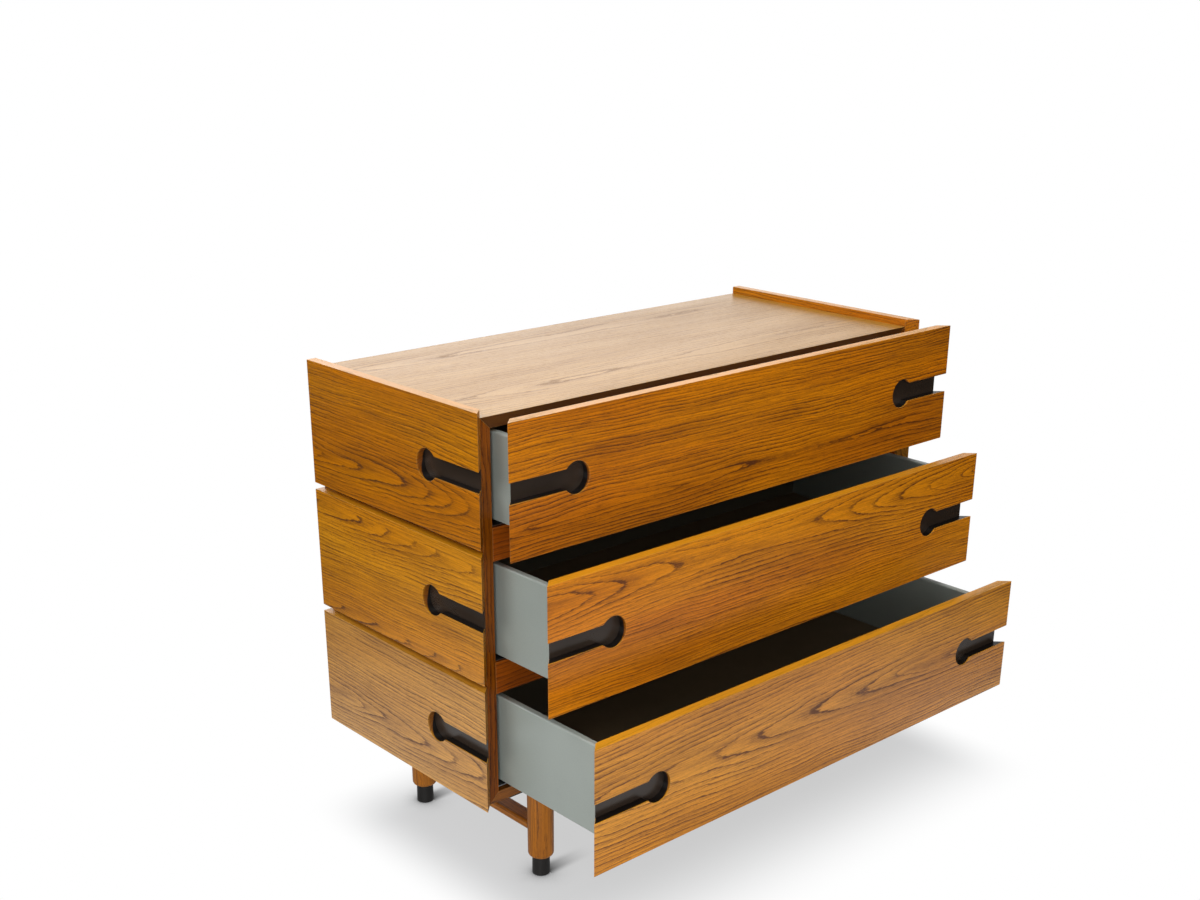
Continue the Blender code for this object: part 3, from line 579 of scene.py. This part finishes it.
def lengthwise(outline, along, start, end):
    """A board of one section: the outline lies in the other two axes."""
    first, second = ACROSS[along]
    third = "XYZ".index(along)
    shape = bmesh.new()
    corners = []
    for u, v in outline:
        corner = [0.0, 0.0, 0.0]
        corner[first], corner[second], corner[third] = u, v, start
        corners.append(shape.verts.new(corner))
    face = shape.faces.new(corners)
    grown = bmesh.ops.extrude_face_region(shape, geom=[face])["geom"]
    bmesh.ops.translate(shape, vec=AXIS[along] * (end - start), verts=verts_of(grown))
    bmesh.ops.recalc_face_normals(shape, faces=shape.faces)
    return shape


def block(low, high):
    """A square block between two corners."""
    shape = bmesh.new()
    bmesh.ops.create_cube(shape, size=1.0)
    bmesh.ops.scale(shape, vec=[abs(h - l) for l, h in zip(low, high)], verts=shape.verts)
    bmesh.ops.translate(shape, vec=[(l + h) / 2 for l, h in zip(low, high)], verts=shape.verts)
    return shape


def carve(shape, tools):
    """Take each tool's shape out of a board."""
    board = in_scene("board", as_mesh(shape, "board"))
    used = [board]
    for tool in tools:
        used.append(in_scene("cutter", as_mesh(tool, "cutter")))
        step = board.modifiers.new("cut", "BOOLEAN")
        step.operation = "DIFFERENCE"
        step.solver = "EXACT"
        step.object = used[-1]
    mesh = bpy.data.meshes.new_from_object(board.evaluated_get(bpy.context.evaluated_depsgraph_get()))
    for thing in used:
        bpy.data.objects.remove(thing)
    result = bmesh.new()
    result.from_mesh(mesh)
    bpy.data.meshes.remove(mesh)
    bmesh.ops.remove_doubles(result, verts=result.verts, dist=WELD)
    bmesh.ops.dissolve_limit(result, angle_limit=FLAT, verts=result.verts, edges=result.edges)
    return result


def ease(shape, radius, segments=2, keep=None, mark=1.0):
    """Round the sharp edges that the keep test lets through, and mark the new faces as arris."""
    layer = shape.faces.layers.float.get("arris") or shape.faces.layers.float.new("arris")
    sharp = [e for e in shape.edges if e.is_manifold and e.calc_face_angle() > SHARP
             and (keep is None or keep(e))]
    made = bmesh.ops.bevel(shape, geom=sharp, offset=radius, offset_type="OFFSET", segments=segments,
                           profile=0.5, affect="EDGES", clamp_overlap=True, material=-1)
    for face in made["faces"]:
        face[layer] = mark
    return shape


def lowest(edge):
    """The height of an edge's lower end."""
    return min(vert.co.z for vert in edge.verts)


def span(edge, axis):
    """How far an edge reaches along an axis."""
    return abs(edge.verts[0].co[axis] - edge.verts[1].co[axis])


def add_piece(name, shape, material, body, node):
    """The finished piece: smooth where it is round, riding on its body, in place of its CAD node."""
    mesh = as_mesh(shape, name)
    mesh.shade_smooth()
    mesh.set_sharp_from_angle(angle=CREASE)
    mesh.materials.append(material)
    piece = in_scene(name, mesh)
    even = piece.modifiers.new("even shading", "WEIGHTED_NORMAL")
    even.keep_sharp = True
    even.weight = EVEN_WEIGHT
    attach(piece, body)
    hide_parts(node)


# %% [markdown]
# ## The keyhole pull
# The pull is a round hole with a slot that leaves it towards the corner of the dresser, and the two
# points of wood where the slot meets the hole are softly rounded. It needs no list of points: a
# vertex is spun most of the way round the hole's middle, both ends are drawn out along the slot, the
# loop is filled, and a vertex bevel rounds the two points. The same tool cuts fronts and claddings.

# %% Keyhole tool
PULL_ROUND, PULL_SLOT, PULL_FILLET, PULL_WEB = 0.02665, 0.034, 0.00135, 0.015
HOLE_STEPS, FILLET_STEPS = 64, 5
OVERCUT = 0.01


def keyhole_tool(reach, turn, middle):
    """A tool that cuts a keyhole through a board, whose slot reaches past the board's end.

    It is drawn on the Y axis with its slot towards +X, then turned and moved to the hole's middle.
    """
    shape = bmesh.new()
    start, end = -OVERCUT, BOARD + OVERCUT
    lean = math.asin(PULL_SLOT / 2 / PULL_ROUND)
    first = shape.verts.new((PULL_ROUND * math.cos(lean), start, PULL_ROUND * math.sin(lean)))
    spun = bmesh.ops.spin(shape, geom=[first], cent=(0, start, 0), axis=(0, -1, 0),
                          angle=2 * math.pi - 2 * lean, steps=HOLE_STEPS, use_duplicate=False)
    last = verts_of(spun["geom_last"])[0]
    drawn = bmesh.ops.extrude_vert_indiv(shape, verts=[first, last])["verts"]
    for vert in drawn:
        vert.co.x = reach + OVERCUT
    shape.edges.new(drawn)
    bmesh.ops.contextual_create(shape, geom=shape.edges[:])
    bmesh.ops.bevel(shape, geom=[first, last], offset=PULL_FILLET, offset_type="OFFSET",
                    segments=FILLET_STEPS, profile=0.5, affect="VERTICES", clamp_overlap=True, material=-1)
    grown = bmesh.ops.extrude_face_region(shape, geom=shape.faces[:])["geom"]
    bmesh.ops.translate(shape, vec=(0, end - start, 0), verts=verts_of(grown))
    bmesh.ops.transform(shape, matrix=Matrix.Translation(middle) @ turn, verts=shape.verts)
    bmesh.ops.recalc_face_normals(shape, faces=shape.faces)
    return shape


probe = keyhole_tool(0.15, Matrix.Identity(4), ORIGIN)
print("keyhole tool:", len(probe.verts), "vertices, closed:", all(e.is_manifold for e in probe.edges))
probe.free()

# %% [markdown]
# ## Drawer fronts
# Each front is a mitred board: its ends slope back at 45 degrees to meet the claddings when the
# drawer is shut. Both pulls run out through the mitres. Behind each pull the back of the board is
# grooved for a thin dark plate, which closes the keyhole and leaves a finger's depth in front of it.

# %% Drawer fronts and their plates
# The last value is the painted highlight on the fronts' up-facing edges.
PULL_REACH_FRONT, RIM_FRONT, UP_EDGE_HIGHLIGHT_FRONT = 0.1338, 0.0050, 0.55
GROOVE_HALF, GROOVE_PLAY = 0.0285, 0.0003
SQUARE_ON = 0.05
FRONT_OAK = {
    "upper": dict(tone="amber", heart=-0.058, pith=0.018, taper=0.012, bend=-0.05, wander=0.022,
                  contrast=0.95),
    "middle": dict(tone="honey", heart=0.076, pith=0.046, taper=-0.022, bend=-0.10, wander=0.012,
                   contrast=0.8),
    "lower": dict(tone="tan", heart=0.012, pith=0.034, taper=-0.055, ring=0.0066, wander=0.008,
                  contrast=0.82),
}


def cut_board(row, outline, tools, axis, face):
    """A board of a band: the tools taken out, its edges eased and the walls of the keyhole marked.

    The axis and the face say which way the board looks and where its outer face lies.
    """
    low, high = BAND[row]

    def off_groove(edge):
        """Edges in the groove stay square, as the cutter leaves them."""
        centre = (edge.verts[0].co + edge.verts[1].co) / 2
        deep = abs(centre[axis] - face) > PULL_WEB - SEAT
        return not (deep and abs(centre.z - MIDDLE_Z[row]) < GROOVE_HALF)

    board = ease(carve(lengthwise(outline, "Z", low, high), tools), EASE_BOARD, keep=off_groove)
    layer = board.faces.layers.float.new("pull")
    for wall in board.faces:
        upright = abs(wall.normal[axis]) < SQUARE_ON
        if upright and abs(wall.calc_center_median().z - MIDDLE_Z[row]) < PULL_ROUND + SEAT:
            wall[layer] = 1.0
    return board


def add_plate(name, section, body, node):
    """The dark plate behind a pull, in place of its CAD node."""
    low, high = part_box(node)
    plate = ease(lengthwise(section, "Z", low.z, high.z), EASE_PLATE)
    add_piece("pull_plate_" + name, plate, PLATE, body, node)


def make_front(row):
    """A drawer front with its two pulls and their plates."""
    face, inner = FACE_Y[row], HALF_WIDTH - BOARD
    body, deep = "drawer_" + row, face + PULL_WEB
    outline = [(-HALF_WIDTH, face), (HALF_WIDTH, face), (inner, face + BOARD), (-inner, face + BOARD)]
    tools = []
    for side, sign in SIDES.items():
        turn = Matrix.Identity(4) if sign > 0 else Matrix.Rotation(math.pi, 4, "Y")
        middle = Vector((sign * (HALF_WIDTH - PULL_REACH_FRONT), face, MIDDLE_Z[row]))
        tools.append(keyhole_tool(PULL_REACH_FRONT, turn, middle))
        node = f"front_pull_plate_{side}_{row}"
        low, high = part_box(node)
        near = low.x if sign > 0 else high.x
        reach = sorted((near, sign * (HALF_WIDTH + OVERCUT)))
        tools.append(block((reach[0] - GROOVE_PLAY, deep, low.z - GROOVE_PLAY),
                           (reach[1] + GROOVE_PLAY, face + BOARD + OVERCUT, high.z + GROOVE_PLAY)))
        section = [(near, deep + SEAT), (sign * (HALF_WIDTH - PULL_WEB - SEAT), deep + SEAT),
                   (sign * inner, face + BOARD), (near, face + BOARD)]
        add_plate(f"front_{side}_{row}", section, body, node)
    look = oak("front " + row, "X", "Z", (0.0, face, MIDDLE_Z[row]), rim=RIM_FRONT,
               up_highlight=UP_EDGE_HIGHLIGHT_FRONT, **FRONT_OAK[row])
    add_piece("front_board_" + row, cut_board(row, outline, tools, 1, face), look, body,
              "drawer_front_" + row)


for row in ROWS:
    make_front(row)
print("fronts made, pulls", round(PULL_REACH_FRONT, 4), "from the corners")

# %% [markdown]
# ## Claddings
# The side boards repeat the fronts' heights and gaps, so each shut drawer reads as one band that
# wraps the corner. They are the same mitred boards turned to the side, with one pull each. Left and
# right get the same cuts of wood. The tone differs a little from board to board, as in the photo.

# %% Claddings and their plates
# The last value is the painted highlight on the claddings' up-facing edges.
PULL_REACH_SIDE, RIM_SIDE, UP_EDGE_HIGHLIGHT_SIDE = 0.1354, 0.0109, 0.5
SIDE_OAK = {
    "upper": dict(heart=-0.048, pith=0.03, taper=-0.075, wander=0.014),
    "middle": dict(heart=0.09, pith=0.04, taper=-0.07, wander=0.016, leaf=0.185),
    "lower": dict(heart=-0.044, pith=0.03, taper=-0.075, ring=0.0062, wander=0.01, contrast=0.86),
}
# The lower boards' paler sand is partly a painted reflection of the bright paper.
SIDE_TONE = {
    "left": {"upper": "ochre", "middle": "gold", "lower": "sand"},
    "right": {"upper": "honey", "middle": "gold", "lower": "sand"},
}


def make_cladding(row, side):
    """A side board, its pull open at the mitred front end, and the plate behind the pull."""
    sign = SIDES[side]
    outer, inner = sign * HALF_WIDTH, sign * (HALF_WIDTH - BOARD)
    outline = [(outer, FRONT_Y), (outer, REAR_Y), (inner, REAR_Y), (inner, FRONT_Y + BOARD)]
    turn = Matrix.Rotation(-math.pi / 2, 4, "Z")
    if sign > 0:
        turn = Matrix.Diagonal((-1, 1, 1, 1)) @ turn
    middle = Vector((outer, FRONT_Y + PULL_REACH_SIDE, MIDDLE_Z[row]))
    hole = keyhole_tool(PULL_REACH_SIDE, turn, middle)
    node = f"cladding_pull_plate_{side}_{row}"
    low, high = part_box(node)
    reach = sorted((outer - sign * PULL_WEB, inner - sign * OVERCUT))
    groove = block((reach[0], FRONT_Y - OVERCUT, low.z - GROOVE_PLAY),
                   (reach[1], high.y + GROOVE_PLAY, high.z + GROOVE_PLAY))
    look = oak(f"cladding {side} {row}", "Y", "Z", (outer, (FRONT_Y + REAR_Y) / 2, MIDDLE_Z[row]),
               SIDE_TONE[side][row], rim=RIM_SIDE, up_highlight=UP_EDGE_HIGHLIGHT_SIDE, **SIDE_OAK[row])
    add_piece(f"side_board_{side}_{row}", cut_board(row, outline, [hole, groove], 0, outer), look,
              "cabinet", f"cladding_{side}_{row}")
    face = outer - sign * (PULL_WEB + GROOVE_PLAY)
    section = [(face, FRONT_Y + abs(outer - face)), (face, high.y), (inner, high.y),
               (inner, FRONT_Y + BOARD)]
    add_plate(f"side_{side}_{row}", section, "cabinet", node)


for row in ROWS:
    for side in SIDES:
        make_cladding(row, side)
print("claddings made:", 2 * len(ROWS))

# %% [markdown]
# ## Carcass
# Inside the claddings stands a mitred box of four boards with two rails across its front and a thin
# dark panel let into its back. The top lies below the edges of the claddings, which make a low lip.

# %% Carcass boards, rails and back
CARCASS_OAK = {
    # The top's low brow paints deep shade on its front edge.
    "top": dict(tone="pale", contrast=0.46, brow=0.12),
    "bottom": dict(tone="base", contrast=0.8),
}


def make_carcass():
    """Top, bottom and sides with mitred corners, the rails and the back panel."""
    low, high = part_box("top_panel")
    outer, inner, ceiling, floor_z = high.x, high.x - BOARD, high.z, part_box("bottom_panel")[0].z
    gap = SEAT * math.sqrt(2)
    back_low, back_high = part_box("back_panel")

    def panel(outline):
        """A board from front to rear, rebated for the back."""
        rebate = block((back_low.x - SEAT, back_low.y - SEAT, back_low.z - SEAT),
                       (back_high.x + SEAT, high.y + OVERCUT, back_high.z + SEAT))
        return ease(carve(lengthwise(outline, "Y", low.y, high.y), [rebate]), EASE_CARCASS)

    for name, height, within in (("top", ceiling, ceiling - BOARD), ("bottom", floor_z, floor_z + BOARD)):
        board = panel([(-outer, height), (outer, height), (inner, within), (-inner, within)])
        look = oak(name, "X", "Y", (0.0, 0.0, height), heart=0.018, pith=0.03, taper=-0.02, ring=0.007,
                   wander=0.03, leaf=0.27, **CARCASS_OAK[name])
        add_piece(name + "_board", board, look, "cabinet", name + "_panel")
    for side, sign in SIDES.items():
        board = panel([(sign * outer, floor_z + gap), (sign * outer, ceiling - gap),
                       (sign * inner, ceiling - BOARD - gap), (sign * inner, floor_z + BOARD + gap)])
        # The side panels' darker tone and their brow below 1 are both painted shade.
        look = oak("side " + side, "Z", "Y", (sign * outer, 0.0, (floor_z + ceiling) / 2), "shade",
                   heart=0.1, pith=0.09, taper=0.02, ring=0.0036, contrast=0.85, gleam=0.25, brow=0.93)
        add_piece("side_panel_board_" + side, board, look, "cabinet", "side_panel_" + side)
    add_piece("back_board", ease(block(back_low, back_high), EASE_SHEET), DARK_BOARD, "cabinet",
              "back_panel")
    for row in ROWS[:-1]:
        node = "rail_under_" + row
        look = oak("rail under " + row, "X", "Z", middle_of(node), "rail", heart=0.05, pith=0.06,
                   taper=0.01, contrast=0.6)
        add_piece("front_" + node, ease(block(*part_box(node)), EASE_BOARD), look, "cabinet", node)


make_carcass()
print("carcass made")

# %% [markdown]
# ## Drawer boxes
# Behind each front is a painted box: two sides, an inner front and a back, with rounded top edges
# and a groove near the foot that holds a dark bottom. The section is drawn square and the two long
# top edges are bevelled with several segments into a real round.

# %% Painted drawer boxes
BOX_WALL, BOX_GROOVE, BOX_RECESS, BOX_BOTTOM, BOX_EDGE_ROUND = 0.012, 0.005, 0.013, 0.007, 0.0025
BOX_EDGE_STEPS, BOX_EDGE_MARK = 5, 0.5


def make_wall(piece, node, row, along, inwards, paint=SAGE, grooved=True):
    """A wall of a drawer box: inwards is the sign of the way from its outer face to its groove."""
    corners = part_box(node)
    foot, top = corners[0].z, corners[1].z
    axis = "XYZ".index(along)
    outer = corners[0 if inwards > 0 else 1][ACROSS[along][0]]
    face = outer + inwards * BOX_WALL
    deep = face - inwards * BOX_GROOVE
    low_edge, high_edge = foot + BOX_RECESS - SEAT, foot + BOX_RECESS + BOX_BOTTOM + SEAT
    groove = [(face, low_edge), (deep, low_edge), (deep, high_edge), (face, high_edge)]
    outline = [(outer, foot), (face, foot)] + (groove if grooved else []) + [(face, top), (outer, top)]
    shape = lengthwise(outline, along, corners[0][axis], corners[1][axis])
    ease(shape, BOX_EDGE_ROUND, BOX_EDGE_STEPS,
         lambda edge: lowest(edge) > top - WELD and span(edge, axis) > BOX_WALL, BOX_EDGE_MARK)
    below = top - BOX_EDGE_ROUND - WELD
    ease(shape, EASE_PLATE, 1, lambda edge: max(vert.co.z for vert in edge.verts) < below)
    add_piece(f"{piece}_{row}", shape, paint, "drawer_" + row, node)


def make_box(row):
    """The painted walls of one drawer, and its bottom board."""
    for side, sign in SIDES.items():
        make_wall("box_side_" + side, f"drawer_{side}_{row}", row, "Y", -sign)
    make_wall("box_inner_front", "drawer_inner_front_" + row, row, "X", 1)
    make_wall("box_back", "drawer_back_" + row, row, "X", -1, SAGE_PAINTED_SHADE, grooved=False)
    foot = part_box("drawer_left_" + row)[0].z
    low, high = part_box("drawer_bottom_" + row)
    board = block((low.x, low.y, foot + BOX_RECESS), (high.x, high.y, foot + BOX_RECESS + BOX_BOTTOM))
    add_piece("box_bottom_" + row, ease(board, EASE_SHEET), DARK_BOARD, "drawer_" + row,
              "drawer_bottom_" + row)


for row in ROWS:
    make_box(row)
print("drawer boxes made:", len(ROWS))

# %% [markdown]
# ## Runners
# Each drawer rides on a pair of undermount runners of folded steel: a bracket on the side panel with
# a fixed rail, a middle member that travels half as far as the drawer, and a hood under the drawer
# bottom. They are drawn as sections of bent sheet and extruded, with the bends rounded.

# %% Folded steel runners and their clips
STEEL, RUNNER_PLAY, RUNNER_INSET = 0.0015, 0.0004, 0.0133
HEAD_HALF, HEAD_HEIGHT, NECK_HALF, FLANGE_HEIGHT, TOE = 0.0045, 0.0055, 0.0025, 0.0275, 0.006
RUNNER_FLOOR_PLAY, BOX_FLOOR_SPACE = 0.001, 0.0105
BRACKET_FRONT, HEAD_FRONT = 0.003, 0.014
CABINET_REAR_SPACE, MEMBER_REAR_SPACE = 0.022, 0.004
CLIP_WIDTH, CLIP_LENGTH, CLIP_DROP, CLIP_NOSE, LEVER_LENGTH = 0.023, 0.046, 0.003, 0.0065, 0.015
CLIP_ROUND, CLIP_STEPS = 0.0012, 3
MIDDLE_HALF = HEAD_HALF + RUNNER_PLAY + STEEL
HOOD_HALF = MIDDLE_HALF + RUNNER_PLAY + STEEL
DRAWER_CEILING = BOX_RECESS - STEEL
MIDDLE_TOP = DRAWER_CEILING - RUNNER_PLAY
MIDDLE_CEILING = MIDDLE_TOP - STEEL
HEAD_TOP = MIDDLE_CEILING - RUNNER_PLAY
HEAD_LOW = HEAD_TOP - HEAD_HEIGHT
MIDDLE_LOW = HEAD_LOW - RUNNER_PLAY - STEEL
DRAWER_LOW = MIDDLE_LOW - RUNNER_PLAY - STEEL


def both_halves(axis, half):
    """A section from its right half, mirrored about an axis."""
    return [(axis + u, v) for u, v in half] + [(axis - u, v) for u, v in reversed(half)]


def hood(axis, half, lip, low, ceiling, top):
    """Section of sheet folded over the next member, with lips turned in."""
    inside = half - STEEL
    return both_halves(axis, [(half, top), (half, low), (lip, low), (lip, low + STEEL),
                              (inside, low + STEEL), (inside, ceiling)])


def make_runner(row, side):
    """The three members under one side of a drawer, and the clip at the front."""
    def folded(piece, section, start, end, body, node):
        """A length of folded zinc sheet."""
        shape = ease(lengthwise(section, "Y", start, end), EASE_SHEET)
        add_piece(f"runner_{piece}_{side}_{row}", shape, ZINC, body, node)

    sign = SIDES[side]
    drawer, bottom, panel = "drawer_" + row, "drawer_bottom_" + row, "side_panel_" + side
    foot, box_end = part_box("drawer_left_" + row)[0].z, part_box("drawer_left_" + row)[1].y
    axis = sign * (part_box("drawer_right_" + row)[1].x - BOX_WALL - RUNNER_INSET)
    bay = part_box("top_panel")[1].x - BOARD
    carcass_front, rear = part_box("top_panel")[0].y, REAR_Y - CABINET_REAR_SPACE
    base = foot + RUNNER_FLOOR_PLAY - BOX_FLOOR_SPACE
    shelf = base + STEEL
    bracket = [(bay, base), (bay, base + FLANGE_HEIGHT), (bay - STEEL, base + FLANGE_HEIGHT),
               (bay - STEEL, shelf), (abs(axis) - TOE, shelf), (abs(axis) - TOE, base)]
    folded("bracket", [(sign * u, v) for u, v in bracket], carcass_front + BRACKET_FRONT, rear, "cabinet",
           panel)
    rail = both_halves(axis, [(NECK_HALF, shelf), (NECK_HALF, foot + HEAD_LOW),
                              (HEAD_HALF, foot + HEAD_LOW), (HEAD_HALF, foot + HEAD_TOP)])
    folded("rail", rail, carcass_front + HEAD_FRONT, rear - STEEL, "cabinet", panel)
    node = f"runner_member_{side}_{row}"
    low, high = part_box(node)
    section = hood(axis, MIDDLE_HALF, NECK_HALF + RUNNER_PLAY, foot + MIDDLE_LOW, foot + MIDDLE_CEILING,
                   foot + MIDDLE_TOP)
    folded("middle", section, low.y, high.y, "runners_" + row, node)
    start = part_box("drawer_inner_front_" + row)[1].y + SEAT
    top = foot + BOX_RECESS - SEAT
    section = hood(axis, HOOD_HALF, MIDDLE_HALF - STEEL, foot + DRAWER_LOW, foot + DRAWER_CEILING, top)
    folded("hood", section, start, box_end - MEMBER_REAR_SPACE, drawer, bottom)
    view = [(start, top), (start + CLIP_LENGTH, top), (start + CLIP_LENGTH, foot + CLIP_NOSE),
            (start + LEVER_LENGTH, foot - CLIP_DROP), (start, foot - CLIP_DROP)]
    near = abs(axis) - HOOD_HALF - SEAT
    limits = sorted((sign * near, sign * (near - CLIP_WIDTH)))
    clip = ease(lengthwise(view, "X", *limits), CLIP_ROUND, CLIP_STEPS)
    add_piece(f"runner_clip_{side}_{row}", clip, NYLON, drawer, bottom)


for row in ROWS:
    for side in SIDES:
        make_runner(row, side)
print("runners made:", 2 * len(ROWS))

# %% [markdown]
# ## Legs, sleeves and stretchers
# The legs are turned, so a profile is spun round the leg's axis. Each ends in a rounded shoulder over
# a black metal cup. A rounded bar joins the legs of each side, hollowed at its ends to fit round
# them, and a folded steel channel holds the two bars apart.

# %% Turned legs in their sleeves
TURN_STEPS = 64
FOOT_RADIUS, LEG_SHOULDER, TOP_ROUND, LEG_MIDDLE = 0.02335, 0.008, 0.0008, 0.1
SLEEVE_HEIGHT, SLEEVE_WALL, SHADOW_GAP = 0.035, 0.0014, 0.0008
SPIGOT_FOOT, CUP_FLOOR, CUP_ROUND, CUP_TAPER = 0.006, 0.002, 0.0012, 0.0004


def turned(profile, x, y):
    """A profile of (radius, height) points spun round a vertical axis."""
    shape = bmesh.new()
    points = [shape.verts.new((radius, 0.0, height)) for radius, height in profile]
    edges = [shape.edges.new(pair) for pair in zip(points, points[1:])]
    bmesh.ops.spin(shape, geom=points + edges, cent=(0, 0, 0), axis=(0, 0, 1), angle=2 * math.pi,
                   steps=TURN_STEPS, use_merge=True, use_duplicate=False)
    bmesh.ops.remove_doubles(shape, verts=shape.verts, dist=WELD)
    bmesh.ops.recalc_face_normals(shape, faces=shape.faces)
    bmesh.ops.translate(shape, vec=(x, y, 0.0), verts=shape.verts)
    return shape


def rounded(centre, radius, start, end, steps):
    """Points on a quarter of a circle, both ends included."""
    angles = [math.radians(start + (end - start) * step / steps) for step in range(steps + 1)]
    return [(centre[0] + radius * math.cos(a), centre[1] + radius * math.sin(a)) for a in angles]


def make_leg(end, side):
    """A turned leg and the metal cup on its foot."""
    node, cup_node = f"leg_{end}_{side}", f"foot_sleeve_{end}_{side}"
    low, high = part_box(node)
    x, y, _ = middle_of(node)
    top, top_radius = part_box("bottom_panel")[0].z - SEAT, (high.x - low.x) / 2
    cup_low, cup_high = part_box(cup_node)
    cup_foot = (cup_high.x - cup_low.x) / 2
    cup_top = cup_foot - CUP_TAPER
    foot = SLEEVE_HEIGHT + SHADOW_GAP
    spigot = cup_top - SLEEVE_WALL - SEAT
    profile = [(0.0, top), (top_radius - TOP_ROUND, top)]
    profile += rounded((top_radius - TOP_ROUND, top - TOP_ROUND), TOP_ROUND, 90, 0, 3)[1:]
    profile += rounded((FOOT_RADIUS - LEG_SHOULDER, foot + LEG_SHOULDER), LEG_SHOULDER, 0, -90, 10)
    profile += [(spigot, foot), (spigot, SPIGOT_FOOT), (0.0, SPIGOT_FOOT)]
    look = oak(f"leg {end} {side}", "Z", "X", (x, y, LEG_MIDDLE), "leg", heart=0.012, pith=0.05,
               taper=0.02, ring=0.0032, contrast=0.6)
    add_piece("turned_" + node, turned(profile, x, y), look, "cabinet", node)
    inner = cup_top - SLEEVE_WALL
    lip = SLEEVE_WALL / 2
    cup = [(0.0, CUP_FLOOR), (inner, CUP_FLOOR), (inner, SLEEVE_HEIGHT - lip)]
    cup += rounded((inner + lip, SLEEVE_HEIGHT - lip), lip, 180, 0, 6)[1:]
    cup += rounded((cup_foot - CUP_ROUND, CUP_ROUND), CUP_ROUND, 0, -90, 4) + [(0.0, 0.0)]
    add_piece(f"foot_cup_{end}_{side}", turned(cup, x, y), BLACK_STEEL, "cabinet", cup_node)
    return x, y


leg_places = {(end, side): make_leg(end, side) for end in ("front", "rear") for side in SIDES}
print("legs at", {key: tuple(round(c, 3) for c in place) for key, place in leg_places.items()})

# %% Stretchers and the channel between them
STRETCHER_ROUND, HOLLOW_RADIUS, HOLLOW_HEIGHT = 0.005, 0.0241, 0.05
CHANNEL_STEEL, CHANNEL_BEND = 0.003, 0.0025
LONG = 0.1


def make_stretcher(side):
    """A rounded bar from leg to leg, hollowed round the legs."""
    node = "stretcher_" + side
    low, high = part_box(node)
    x = leg_places["front", side][0]
    outline = [(low.x, low.z), (high.x, low.z), (high.x, high.z), (low.x, high.z)]
    ends = [leg_places[end, side][1] for end in ("front", "rear")]
    shape = lengthwise(outline, "Y", *ends)
    ease(shape, STRETCHER_ROUND, 6, lambda edge: span(edge, 1) > LONG, 0.0)
    tools = []
    for y in ends:
        tool = bmesh.new()
        bmesh.ops.create_cone(tool, cap_ends=True, segments=96, radius1=HOLLOW_RADIUS,
                              radius2=HOLLOW_RADIUS, depth=HOLLOW_HEIGHT)
        bmesh.ops.translate(tool, vec=(x, y, (low.z + high.z) / 2), verts=tool.verts)
        tools.append(tool)
    look = oak("stretcher " + side, "Y", "X", ((low.x + high.x) / 2, 0.0, high.z), "leg", heart=0.02,
               pith=0.05, taper=0.02, ring=0.005, contrast=0.6)
    add_piece("stretcher_bar_" + side, ease(carve(shape, tools), EASE_SHEET), look, "cabinet", node)


def make_channel():
    """A steel channel, open downwards, its two bends rounded inside and out."""
    low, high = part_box("cross_rail")
    under = high.z - CHANNEL_STEEL
    outline = [(low.y, low.z), (low.y, high.z), (high.y, high.z), (high.y, low.z),
               (high.y - CHANNEL_STEEL, low.z), (high.y - CHANNEL_STEEL, under),
               (low.y + CHANNEL_STEEL, under), (low.y + CHANNEL_STEEL, low.z)]
    shape = lengthwise(outline, "X", low.x, high.x)
    ease(shape, CHANNEL_BEND, 5, lambda edge: lowest(edge) > under - WELD and span(edge, 0) > LONG, 0.0)
    add_piece("steel_channel", ease(shape, EASE_SHEET), BLACK_STEEL, "cabinet", "cross_rail")


for side in SIDES:
    make_stretcher(side)
make_channel()
print("stretchers and channel made")
